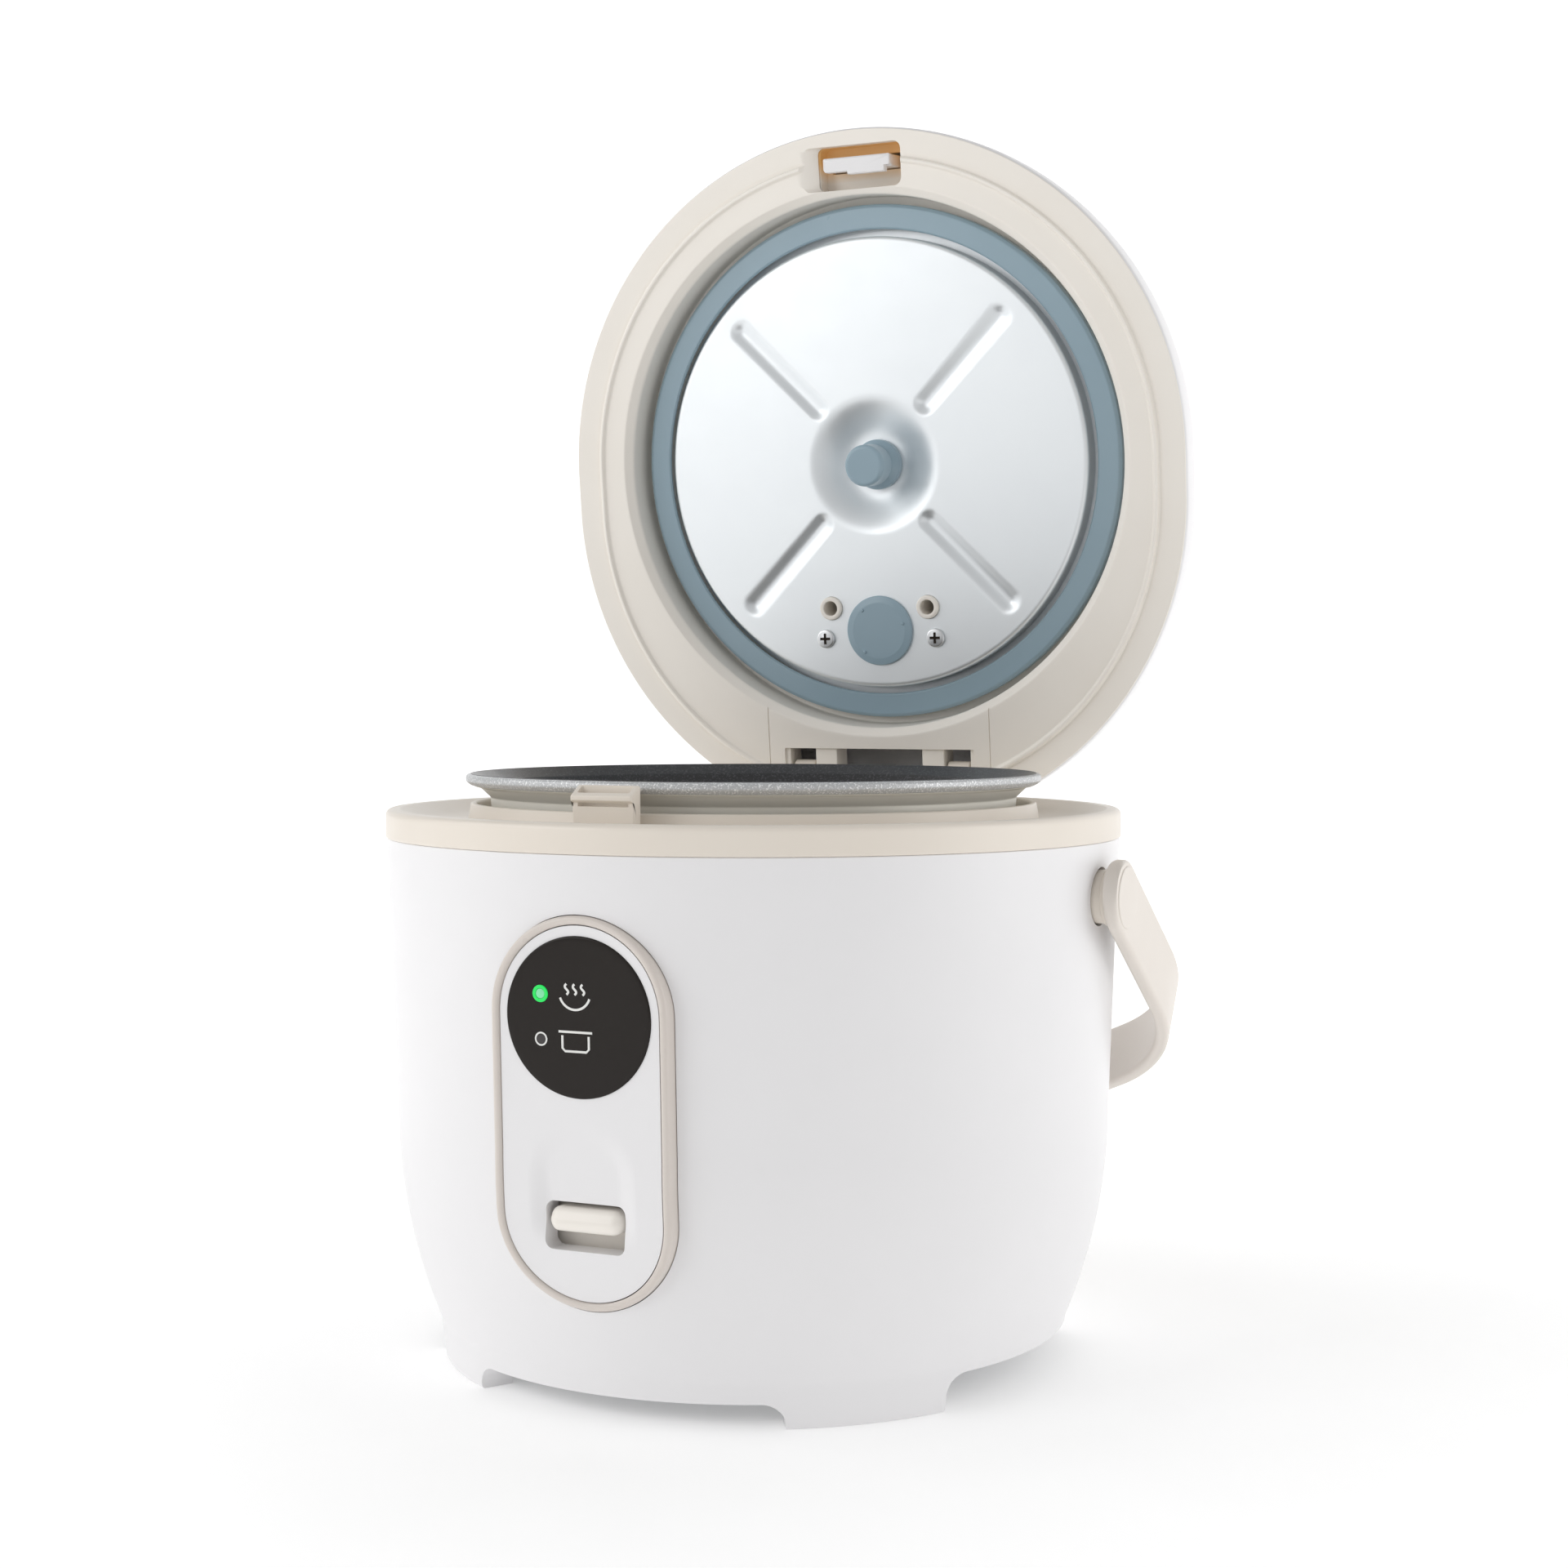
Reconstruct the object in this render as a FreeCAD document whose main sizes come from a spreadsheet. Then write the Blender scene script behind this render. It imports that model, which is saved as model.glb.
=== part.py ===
# Rice cooker with a hinged lid, a lift-out pot, a cook lever and a bail handle.
# Millimetres, +Z up, origin on the table under the centre of the body, control panel towards -Y.
import FreeCAD, Part
import os
import re
import Sketcher
from FreeCAD import Placement, Rotation, Vector

doc = FreeCAD.newDocument("rice_cooker")
dims = doc.addObject("Spreadsheet::Sheet", "dims")

SIZES = {
    # outer shell and its feet
    "rim_radius": 100.0, "rim_top": 148.0, "band_height": 7.5, "seam_gap": 0.3,
    "shell_wall": 2.2, "shell_inset": 0.4, "waist_radius": 97.0, "waist_height": 68.0,
    "belly_radius": 93.4, "belly_height": 35.0, "skirt_radius": 85.8, "skirt_height": 11.0,
    "foot_radius": 84.6, "foot_depth": 9.0, "ledge_height": 12.5,
    "front_arch": 6.5, "side_arch": 9.5, "arch_half": 43.0, "arch_round": 5.5,
    # top ring, drip basin, collar and catch
    "lip_width": 4.0, "lip_round": 1.5, "basin_depth": 4.5, "ring_wall": 2.0, "ring_skirt": 4.2,
    "collar_radius": 77.2, "collar_wall": 1.6, "collar_top": 149.5, "collar_foot": 137.5,
    "catch_width": 17.0, "catch_reach": 8.8, "catch_depth": 4.0, "catch_wall": 1.3,
    "catch_lip": 1.3, "catch_lip_low": 152.4, "catch_top": 157.0,
    # control panel
    "panel_half": 24.1, "panel_tall": 48.5, "panel_mid": 77.5, "trim_width": 2.2, "trim_proud": 1.3,
    "insert_proud": 0.3, "insert_depth": 3.5, "panel_fit": 0.15,
    "disc_radius": 19.7, "disc_mid": 101.4, "disc_proud": 0.6, "disc_depth": 2.2,
    "lamp_radius": 2.1, "lamp_side": 10.1, "lamp_high": 106.8, "lamp_low": 95.8, "lamp_depth": 4.2,
    "board_half": 16.0, "board_tall": 26.0, "board_thick": 1.6,
    "slot_half": 11.3, "slot_low": 43.9, "slot_high": 55.9, "slot_round": 3.4,
    "scoop_half": 13.0, "scoop_top": 75.7, "scoop_depth": 2.6,
    # cook switch
    "paddle_half": 9.4, "paddle_low": 48.5, "paddle_high": 55.2, "paddle_proud": 1.4, "paddle_long": 9.0,
    "lever_level": 33.2, "lever_thick": 1.6, "lever_width": 9.0, "lever_bend": 80.0, "lever_end": 2.5,
    "lever_pivot_y": 45.0, "lever_pivot_z": 36.5, "lever_eye": 3.6, "lever_pin_radius": 1.5,
    "bracket_gap": 0.7, "bracket_thick": 1.4, "bracket_half": 5.0, "bracket_flange": 12.0,
    "switch_half": 5.0, "switch_near": 58.0, "switch_far": 76.0, "switch_tall": 8.0,
    # pot, can, heating plate and thermostat
    "pot_top": 155.0, "pot_rim": 78.6, "pot_radius": 71.6, "pot_base_radius": 69.6, "pot_wall": 1.5,
    "pot_round": 14.0, "pot_neck": 146.0, "plate_top": 61.0, "pot_rest": 0.3,
    "can_radius": 77.6, "can_wall": 0.8, "can_floor": 48.0, "can_flange": 6.0, "can_hole": 13.0,
    "heater_radius": 62.0, "heater_thick": 7.0, "heater_hole": 16.5, "tube_circle": 46.0, "tube_radius": 4.2,
    "post_circle": 30.0, "post_radius": 3.5,
    "cap_radius": 15.0, "cap_wall": 1.0, "cap_tall": 8.0, "magnet_radius": 7.2, "magnet_thick": 4.0,
    "stem_radius": 9.6, "stem_bore": 8.2, "stem_foot": 38.2, "stem_flange": 22.0,
    "armature_radius": 8.1, "armature_low": 41.0, "armature_thick": 4.0, "rod_radius": 2.2,
    "collar_disc": 6.0, "collar_disc_thick": 1.2, "spring_wire": 1.0,
    "fuse_radius": 2.4, "fuse_long": 24.0, "fuse_y": 34.0,
    # mains inlet and base
    "inlet_half": 14.0, "inlet_low": 23.0, "inlet_tall": 20.0, "inlet_deep": 20.0, "inlet_wall": 2.5,
    "inlet_proud": 0.8, "pin_long": 12.0, "pin_wide": 4.0, "pin_thick": 2.0, "pin_pitch": 7.0,
    "base_thick": 2.2, "base_fit": 0.4, "vent_long": 22.0, "vent_wide": 4.0, "vent_start": 30.0,
    "screw_head": 2.8, "screw_shank": 1.4, "screw_long": 13.5, "screw_sink": 6.6, "screw_boss": 3.2,
    # lid
    "seal_gap": 0.4, "lid_open": 83.3, "hinge_y": 95.0, "hinge_z": 154.1, "lid_stretch": 11.0, "lid_back": 98.0,
    "frame_wall": 2.0, "frame_gap": 0.2, "frame_face": 6.2, "frame_edge": 5.4,
    "bead_radius": 89.6, "bead_tall": 1.0, "face_inner": 82.6, "recess_radius": 80.3, "recess_depth": 3.6,
    "deck_radius": 63.0, "deck_height": 8.0,
    "cover_gap": 2.0, "cover_wall": 2.2, "cover_edge": 5.6, "cover_side": 96.3, "cover_side_height": 9.5,
    "shoulder_radius": 88.5, "shoulder_height": 20.5, "crown_radius": 48.0, "crown_side": 27.2, "crown": 29.5,
    "plate_radius": 68.2, "plate_thick": 0.8, "plate_flange": 3.4, "dish_radius": 20.5, "dish_slope": 4.5,
    "dish_depth": 5.0, "groove_start": 25.0, "groove_end": 59.5, "groove_half": 3.2, "groove_depth": 1.2,
    "seal_radius": 77.6, "seal_split": 0.7,
    "knob_radius": 6.3, "knob_flange": 7.6, "knob_reach": 7.9, "knob_stem": 3.0, "knob_head": 4.4,
    "pad_radius": 10.7, "pad_thick": 1.4, "pad_y": 50.6, "pad_stem": 2.4,
    "steam_radius": 3.5, "steam_bore": 2.25, "steam_x": 16.0, "steam_y": 43.6, "steam_reach": 1.2,
    "tack_head": 2.4, "tack_shank": 1.35, "tack_x": 18.2, "tack_y": 53.0, "tack_boss": 3.4,
    "vent_radius": 15.0, "vent_y": 45.0, "vent_flange": 2.5, "vent_tall": 8.4,
    # hinge
    "hinge_pin_radius": 1.6, "knuckle_radius": 4.2, "lug_side": 25.6, "lug_wide": 7.0, "lug_gap": 0.8,
    "knuckle_in": 14.2, "knuckle_out": 34.0, "hinge_fit": 0.06,
    # latch
    "pocket_half": 16.3, "pocket_far": 93.6, "pocket_near": 81.5, "pocket_wall": 2.0, "latch_y": 89.0,
    "latch_height": 8.6, "latch_half": 12.5, "latch_eye": 3.0, "latch_pin_radius": 1.2,
    "latch_thick": 2.6, "nose_gap": 0.35, "nose_thick": 1.9,
    "button_half": 13.0, "button_low": 9.5, "button_high": 17.0, "button_gap": 0.5,
    # bail handle
    "pivot_z": 126.5, "boss_radius": 6.3, "boss_flange": 8.5, "boss_fit": 0.15,
    "handle_gap": 1.3, "strap_thick": 5.0, "strap_width": 17.0, "handle_room": 27.0,
    "strap_corner": 54.5, "strap_bow": 1.0, "eye_radius": 10.5, "eye_gap": 0.2,
    "hang_angle": 33.6, "bolt_radius": 3.0, "bolt_head": 5.0, "bolt_head_thick": 1.7, "bolt_fit": 0.08,
    "handle_cap": 7.3, "handle_cap_thick": 1.5,
}
TIED = {
    # the handle stands clear of the widest part of the body
    "body_half": "max(rim_radius; waist_radius; belly_radius)",
    "handle_half": "body_half + handle_gap + strap_thick",
    "strap_reach": "body_half + handle_room",
    "strap_back": "strap_reach + strap_bow",
}

for row, (alias, number) in enumerate(SIZES.items(), 1):
    dims.set(f"A{row}", alias)
    dims.set(f"B{row}", str(number))
    dims.setAlias(f"B{row}", alias)
for row, (alias, text) in enumerate(TIED.items(), len(SIZES) + 1):
    dims.set(f"A{row}", alias)
    dims.set(f"B{row}", f"={text}")
    dims.setAlias(f"B{row}", alias)
doc.recompute()

SIZE_WORD = re.compile(r"\b(" + "|".join([*SIZES, *TIED]) + r")\b")
parts = {}


def formula(text):
    """The sheet formula that a text of size names stands for."""
    return SIZE_WORD.sub(r"dims.\1", str(text))


def value(text):
    """The number that a text of size names comes to."""
    result = dims.evalExpression(formula(text))
    return float(getattr(result, "Value", result))


def bind(thing, formulas):
    """Ties properties of an object to the sheet."""
    for name, text in formulas.items():
        thing.setExpression(name, formula(text))


def piece(name, thing):
    """Names a finished sub-part and lists it for writing."""
    thing.Label = name
    parts[name] = thing
    return thing


def outline(body, plane, points):
    """A closed sketch; a point with four texts ends an arc that passes through the last two."""
    sketch = body.newObject("Sketcher::SketchObject", body.Name + "_outline")
    sketch.AttachmentSupport = (next(f for f in body.Origin.OriginFeatures if f.Role == plane), [""])
    sketch.MapMode = "FlatFace"
    spots = [Vector(value(point[0]), value(point[1]), 0) for point in points]
    rules, texts, ends = [], [], []

    def pin(geometry, corner, place):
        for kind, text in (("DistanceX", place[0]), ("DistanceY", place[1])):
            rules.append(Sketcher.Constraint(kind, geometry, corner, value(text)))
            texts.append(text)

    for number, point in enumerate(points):
        start, finish = spots[number - 1], spots[number]
        if len(point) == 4:
            middle = Vector(value(point[2]), value(point[3]), 0)
            edge = sketch.addGeometry(Part.Arc(start, middle, finish), False)
            near = sketch.getPoint(edge, 1).distanceToPoint(start)
            far = sketch.getPoint(edge, 2).distanceToPoint(start)
            ends.append((edge, 1, 2) if near < far else (edge, 2, 1))
            mark = sketch.addGeometry(Part.Point(middle), True)
            pin(mark, 1, point[2:])
            rules.append(Sketcher.Constraint("PointOnObject", mark, 1, edge))
            texts.append(None)
        else:
            ends.append((sketch.addGeometry(Part.LineSegment(start, finish), False), 1, 2))
    for number, point in enumerate(points):
        edge, _, last = ends[number]
        following, first, _ = ends[(number + 1) % len(points)]
        pin(edge, last, point)
        rules.append(Sketcher.Constraint("Coincident", edge, last, following, first))
        texts.append(None)
    sketch.addConstraint(rules)
    for number, text in enumerate(texts):
        if text is not None:
            sketch.setExpression(f"Constraints[{number}]", formula(text))
    return sketch


def turned(name, points):
    """A profile of radius and height turned about the Z axis."""
    body = doc.addObject("PartDesign::Body", name)
    sketch = outline(body, "XZ_Plane", points)
    turn = body.newObject("PartDesign::Revolution", name + "_turn")
    turn.Profile = sketch
    turn.ReferenceAxis = (sketch, ["V_Axis"])
    return body


def padded(name, plane, points, width, offset="0"):
    """A profile padded by half the width to each side of its plane, or of a plane offset along the normal."""
    body = doc.addObject("PartDesign::Body", name)
    sketch = outline(body, plane, points)
    bind(sketch, {"AttachmentOffset.Base.z": offset})
    pad = body.newObject("PartDesign::Pad", name + "_pad")
    pad.Profile = sketch
    pad.SideType = "Symmetric"
    bind(pad, {"Length": width})
    return body


def box(name, x, y, z):
    """A box from its lower and upper text along each axis."""
    thing = doc.addObject("Part::Box", name)
    for side, axis, (low, high) in (("Length", "x", x), ("Width", "y", y), ("Height", "z", z)):
        bind(thing, {side: f"({high}) - ({low})", f"Placement.Base.{axis}": low})
    return thing


AXLES = {"X": (Vector(0, 1, 0), 90), "Y": (Vector(1, 0, 0), -90), "Z": (Vector(0, 0, 1), 0)}


def rod(name, axle, radius, start, finish, one, two):
    """A cylinder along an axis, at the given place on the other two axes in order."""
    thing = doc.addObject("Part::Cylinder", name)
    thing.Placement = Placement(Vector(), Rotation(*AXLES[axle]))
    places = dict(zip([a for a in "XYZ" if a != axle], (one, two)))
    places[axle] = start
    bind(thing, {"Radius": radius, "Height": f"({finish}) - ({start})"})
    bind(thing, {f"Placement.Base.{axis.lower()}": text for axis, text in places.items()})
    return thing


def fuse(name, *things):
    """Several things made into one solid."""
    thing = doc.addObject("Part::MultiFuse", name)
    thing.Shapes = list(things)
    thing.Refine = True
    return thing


def common(name, *things):
    """What several things share."""
    thing = doc.addObject("Part::MultiCommon", name)
    thing.Shapes = list(things)
    return thing


def cut(name, base, *tools):
    """A thing with tools taken out of it."""
    thing = doc.addObject("Part::Cut", name)
    thing.Base = base
    thing.Tool = tools[0] if len(tools) == 1 else group(name + "_tools", *tools)
    return thing


def group(name, *things):
    """Separate solids kept side by side."""
    thing = doc.addObject("Part::Compound", name)
    thing.Links = list(things)
    return thing


def turned_copies(name, thing, start, count):
    """Copies of a thing spread evenly about the Z axis."""
    copies = []
    for number in range(count):
        copy = group(f"{name}_{number}", thing)
        copy.Placement = Placement(Vector(), Rotation(Vector(0, 0, 1), start + 360 * number / count))
        copies.append(copy)
    return copies


def swing(thing, y, z, angle):
    """Turns a thing about an axle along X at the given height and depth."""
    thing.Placement = Placement(Vector(), Rotation(Vector(1, 0, 0), 1))
    turn = f"({angle}) * 1 deg"
    bind(thing, {
        "Placement.Rotation.Angle": turn,
        "Placement.Base.y": f"({y}) - ({y}) * cos({turn}) + ({z}) * sin({turn})",
        "Placement.Base.z": f"({z}) - ({y}) * sin({turn}) - ({z}) * cos({turn})",
    })
    return thing


def coil(name, axle, radius, wire, turns, start, finish, one, two):
    """A spring of square wire between two places along an axis, set by the sheet when the source runs."""
    low, high = value(start), value(finish)
    bend = value(radius)
    pitch = (high - low) / turns
    helix = Part.makeHelix(pitch, high - low, bend)
    half = value(wire) / 2
    corners = [Vector(bend + x, 0, z) for x, z in ((half, 0), (0, half), (-half, 0), (0, -half), (half, 0))]
    section = Part.Wire(Part.makePolygon(corners))
    spring = Part.Wire(helix).makePipeShell([section], True, True)
    thing = doc.addObject("Part::Feature", name)
    thing.Shape = spring
    places = dict(zip([a for a in "XYZ" if a != axle], (value(one), value(two))))
    places[axle] = low
    thing.Placement = Placement(Vector(places["X"], places["Y"], places["Z"]), Rotation(*AXLES[axle]))
    return thing


# Heights and radii that several pieces share

SEAM = "(rim_top - band_height)"
SHELL_TOP = "(rim_radius - shell_inset)"
BASIN = "(rim_top - basin_depth)"
UNDER_BASIN = f"({BASIN} - ring_wall)"
LID = "(pot_top + seal_gap)"
ROUND = 0.2929


def wall_radius(height):
    """The shell's outer radius at a height on its straight upper part."""
    slope = f"({SHELL_TOP} - waist_radius) / ({SEAM} - waist_height)"
    return f"(waist_radius + {slope} * (({height}) - waist_height))"


# Outer shell: one moulded wall that ends in a ledge and four feet

shell_wall_body = turned("shell_body", [
    (SHELL_TOP, SEAM),
    (f"{SHELL_TOP} - shell_wall", SEAM),
    ("waist_radius - shell_wall", "waist_height"),
    ("skirt_radius - shell_wall", "ledge_height", "belly_radius - shell_wall", "belly_height"),
    ("foot_radius - foot_depth", "ledge_height"),
    ("foot_radius - foot_depth", "0"),
    ("foot_radius", "0"),
    ("skirt_radius", "skirt_height"),
    ("waist_radius", "waist_height", "belly_radius", "belly_height"),
])


def arch(name, plane, height):
    """The opening between two pairs of feet, with rounded upper corners, right through the skirt."""
    near = f"{ROUND} * arch_round"
    return padded(name, plane, [
        ("-arch_half", "-1"),
        ("arch_half", "-1"),
        ("arch_half", f"{height} - arch_round"),
        ("arch_half - arch_round", height, f"arch_half - {near}", f"{height} - {near}"),
        ("arch_round - arch_half", height),
        ("-arch_half", f"{height} - arch_round", f"{near} - arch_half", f"{height} - {near}"),
    ], "3 * foot_radius")


def stadium(name, inset):
    """The panel's stadium outline, inset and carried through the front wall."""
    half = f"(panel_half - ({inset}))"
    straight = "(panel_tall - panel_half)"
    return padded(name, "XZ_Plane", [
        (half, f"panel_mid - {straight}", "0", f"panel_mid - {straight} - {half}"),
        (half, f"panel_mid + {straight}"),
        (f"-{half}", f"panel_mid + {straight}", "0", f"panel_mid + {straight} + {half}"),
        (f"-{half}", f"panel_mid - {straight}"),
    ], "rim_radius", "rim_radius * 0.9")


SCREW_CIRCLE = "(foot_radius - foot_depth / 2)"
PIVOT_WALL = wall_radius("pivot_z")
INLET_FACE = "(belly_radius + inlet_proud)"

screw_way = rod("screw_way", "Z", "screw_shank + 0.2", "screw_sink - 1", "ledge_height + 1", SCREW_CIRCLE, "0")
screw_sink = rod("screw_sink_way", "Z", "screw_head + 0.3", "-1", "screw_sink", SCREW_CIRCLE, "0")
screw_ways = turned_copies("screw_way_copy", group("screw_way_pair", screw_way, screw_sink), 45, 4)
piece("outer_shell", cut(
    "shell_cut", shell_wall_body,
    arch("front_arch_way", "XZ_Plane", "front_arch"), arch("side_arch_way", "YZ_Plane", "side_arch"),
    stadium("panel_way", "-panel_fit"),
    rod("boss_way", "X", "boss_radius + boss_fit", "-1.2 * rim_radius", "1.2 * rim_radius", "0", "pivot_z"),
    box("inlet_way", ("-inlet_half - 0.2", "inlet_half + 0.2"), ("0.7 * rim_radius", "1.2 * rim_radius"),
        ("inlet_low - 0.2", "inlet_low + inlet_tall + 0.2")),
    *screw_ways))

# Base cover: a vented floor on the shell's ledge, held by a screw up through each foot

base_floor = "(ledge_height + 0.1)"
base_top = f"({base_floor} + base_thick)"
base_edge = "(skirt_radius - shell_wall - base_fit)"
base_disc = turned("base_disc", [
    ("0", base_floor), (base_edge, base_floor), (base_edge, base_top), ("0", base_top)])
boss = rod("base_boss", "Z", "screw_boss", f"{base_top} - 1", f"{base_top} + 7", SCREW_CIRCLE, "0")
pilot = rod("base_pilot", "Z", "screw_shank + 0.05", f"{base_floor} - 1", f"{base_top} + 8", SCREW_CIRCLE, "0")
slot = box("base_slot", ("vent_start", "vent_start + vent_long"), ("-vent_wide / 2", "vent_wide / 2"),
           (f"{base_floor} - 1", f"{base_top} + 1"))
piece("base_cover", cut(
    "base_cut", fuse("base_blank", base_disc, *turned_copies("base_boss_copy", boss, 45, 4)),
    *turned_copies("base_pilot_copy", pilot, 45, 4), *turned_copies("base_slot_copy", slot, 0, 12)))

screw = fuse(
    "base_screw",
    rod("base_screw_head", "Z", "screw_head", "screw_sink - 2.1", "screw_sink - 0.1", SCREW_CIRCLE, "0"),
    rod("base_screw_shank", "Z", "screw_shank", "screw_sink - 0.5", "screw_sink + screw_long", SCREW_CIRCLE, "0"))
piece("base_screws", group("base_screw_group", *turned_copies("base_screw_copy", screw, 45, 4)))

# Top ring: rounded lip, drip basin, collar round the pot, catch for the latch and two hinge lugs

ring_skirt_radius = f"({SHELL_TOP} - shell_wall - 0.3)"
ring_body = turned("ring_body", [
    ("rim_radius", f"{SEAM} + seam_gap"),
    ("rim_radius", "rim_top - lip_round"),
    ("rim_radius - lip_round", "rim_top", f"rim_radius - {ROUND} * lip_round", f"rim_top - {ROUND} * lip_round"),
    ("rim_radius - lip_width", "rim_top"),
    ("collar_radius + 1", BASIN, "rim_radius - lip_width - 8", f"{BASIN} + 0.16 * basin_depth"),
    ("collar_radius", "collar_top - 0.5"),
    ("collar_radius - 0.5", "collar_top"),
    ("collar_radius - collar_wall", "collar_top"),
    ("collar_radius - collar_wall", "collar_foot"),
    ("collar_radius", "collar_foot"),
    ("collar_radius", UNDER_BASIN),
    (f"{ring_skirt_radius} - ring_wall", UNDER_BASIN),
    (f"{ring_skirt_radius} - ring_wall", f"{SEAM} - ring_skirt"),
    (ring_skirt_radius, f"{SEAM} - ring_skirt"),
    (ring_skirt_radius, f"{SEAM} + seam_gap"),
])
catch_front = "(collar_radius + catch_reach)"
catch_back = f"({catch_front} - catch_depth)"
catch = padded("catch_block", "YZ_Plane", [
    (f"-{catch_back}", f"{BASIN} - 1"),
    (f"-{catch_front}", f"{BASIN} - 1"),
    (f"-{catch_front}", "catch_lip_low"),
    (f"-{catch_front} - catch_lip", "catch_lip_low + 0.4"),
    (f"-{catch_front} - catch_lip", "catch_lip_low + 1.7"),
    (f"-{catch_back}", "catch_top"),
], "catch_width")
catch_tray = box(
    "catch_tray", ("catch_wall - catch_width / 2", "catch_width / 2 - catch_wall"),
    (f"-{catch_front} - catch_lip + catch_wall", f"-{catch_back} - catch_wall"),
    ("catch_lip_low - 1", "catch_top + 1"))


def side_block(name, points, inner, outer, side):
    """A profile across the hinge, between two distances from the middle, on one side."""
    return padded(name, "YZ_Plane", points, f"({outer}) - ({inner})", f"{side} * (({outer}) + ({inner})) / 2")


lugs = []
for side in (-1, 1):
    lug_in = "(lug_side - lug_wide / 2)"
    lug_out = "(lug_side + lug_wide / 2)"
    lugs.append(side_block(f"lug_{side + 1}", [
        ("hinge_y - 2 * knuckle_radius", f"{BASIN} - 0.5"),
        ("hinge_y + 0.1 * knuckle_radius", f"{BASIN} - 0.5"),
        ("hinge_y + knuckle_radius", "hinge_z"),
        ("hinge_y - knuckle_radius", "hinge_z", "hinge_y", "hinge_z + knuckle_radius"),
    ], lug_in, lug_out, side))
piece("top_ring", cut(
    "ring_cut", fuse("ring_blank", ring_body, catch, *lugs), catch_tray,
    rod("ring_bore", "X", "hinge_pin_radius + 0.02", "-knuckle_out - 5", "knuckle_out + 5",
        "hinge_y", "hinge_z")))
piece("hinge_pin", group("hinge_pin_group", rod(
    "hinge_pin_rod", "X", "hinge_pin_radius", "-knuckle_out", "knuckle_out", "hinge_y", "hinge_z")))

# Control panel: trim, insert, lamp disc and lamps all follow the wall's upright curve and are flat across


def panel_skin(name, proud, depth):
    """A band along the front wall's profile, straight from side to side."""
    return padded(name, "YZ_Plane", [
        (f"-{SHELL_TOP} - ({proud})", SEAM),
        ("-waist_radius - (" + proud + ")", "waist_height"),
        (f"-skirt_radius - ({proud})", "skirt_height", f"-belly_radius - ({proud})", "belly_height"),
        (f"({depth}) - skirt_radius", "skirt_height"),
        (f"({depth}) - waist_radius", "waist_height", f"({depth}) - belly_radius", "belly_height"),
        (f"({depth}) - {SHELL_TOP}", SEAM),
    ], "4 * panel_half")


def front_rod(name, radius, x, z):
    """A cylinder through the front wall."""
    return rod(name, "Y", radius, "-1.2 * rim_radius", "-0.7 * rim_radius", x, z)


piece("panel_trim", cut(
    "trim_cut", common("trim_blank", panel_skin("trim_skin", "trim_proud", "insert_depth + 0.5"),
                       stadium("trim_outer", "0")), stadium("trim_inner", "trim_width")))
insert = common("insert_blank", panel_skin("insert_skin", "insert_proud", "insert_depth"),
                stadium("insert_outer", "trim_width + panel_fit"))
near = f"{ROUND} * slot_round"
slot_way = padded("slot_way", "XZ_Plane", [
    ("slot_round - slot_half", "slot_low", f"{near} - slot_half", f"slot_low + {near}"),
    ("slot_half - slot_round", "slot_low"),
    ("slot_half", "slot_low + slot_round", f"slot_half - {near}", f"slot_low + {near}"),
    ("slot_half", "slot_high - slot_round"),
    ("slot_half - slot_round", "slot_high", f"slot_half - {near}", f"slot_high - {near}"),
    ("slot_round - slot_half", "slot_high"),
    ("-slot_half", "slot_high - slot_round", f"{near} - slot_half", f"slot_high - {near}"),
    ("-slot_half", "slot_low + slot_round"),
], "rim_radius", "rim_radius * 0.9")
scoop_arch = padded("scoop_arch", "XZ_Plane", [
    ("-scoop_half", "slot_high - slot_round"),
    ("scoop_half", "slot_high - slot_round"),
    ("scoop_half", "scoop_top - scoop_half"),
    ("-scoop_half", "scoop_top - scoop_half", "0", "scoop_top"),
], "rim_radius", "rim_radius * 0.9")
scoop_wedge = padded("scoop_wedge", "YZ_Plane", [
    (f"-{wall_radius('scoop_top')} - insert_proud", "scoop_top"),
    ("-1.1 * rim_radius", "scoop_top"),
    ("-1.1 * rim_radius", "slot_high - slot_round"),
    ("scoop_depth - (waist_radius + belly_radius) / 2 - insert_proud", "slot_high - slot_round"),
], "4 * panel_half")
piece("control_panel", cut(
    "insert_cut", insert, front_rod("disc_way", "disc_radius + panel_fit", "0", "disc_mid"),
    slot_way, common("scoop", scoop_arch, scoop_wedge)))
disc = common("disc_blank", panel_skin("disc_skin", "disc_proud", "disc_depth"),
              front_rod("disc_rod", "disc_radius", "0", "disc_mid"))
lamp_ways = []
for name, height in (("lamp_upper", "lamp_high"), ("lamp_lower", "lamp_low")):
    lamp_ways.append(front_rod(name + "_way", "lamp_radius + 0.1", "-lamp_side", height))
    piece(name, common(name + "_lens", panel_skin(name + "_skin", "disc_proud + 0.15", "lamp_depth"),
                       front_rod(name + "_rod", "lamp_radius", "-lamp_side", height)))
piece("indicator_disc", cut("disc_cut", disc, *lamp_ways))
board_front = f"(lamp_depth + 0.1 - min({wall_radius('lamp_low')}; {wall_radius('lamp_high')}))"
piece("lamp_board", group("lamp_board_group", box(
    "lamp_board_box", ("-board_half", "board_half"), (board_front, f"{board_front} + board_thick"),
    ("disc_mid - board_tall / 2", "disc_mid + board_tall / 2"))))

# Cook switch: paddle, bent metal lever, its pin, bracket and snap switch under the can

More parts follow.
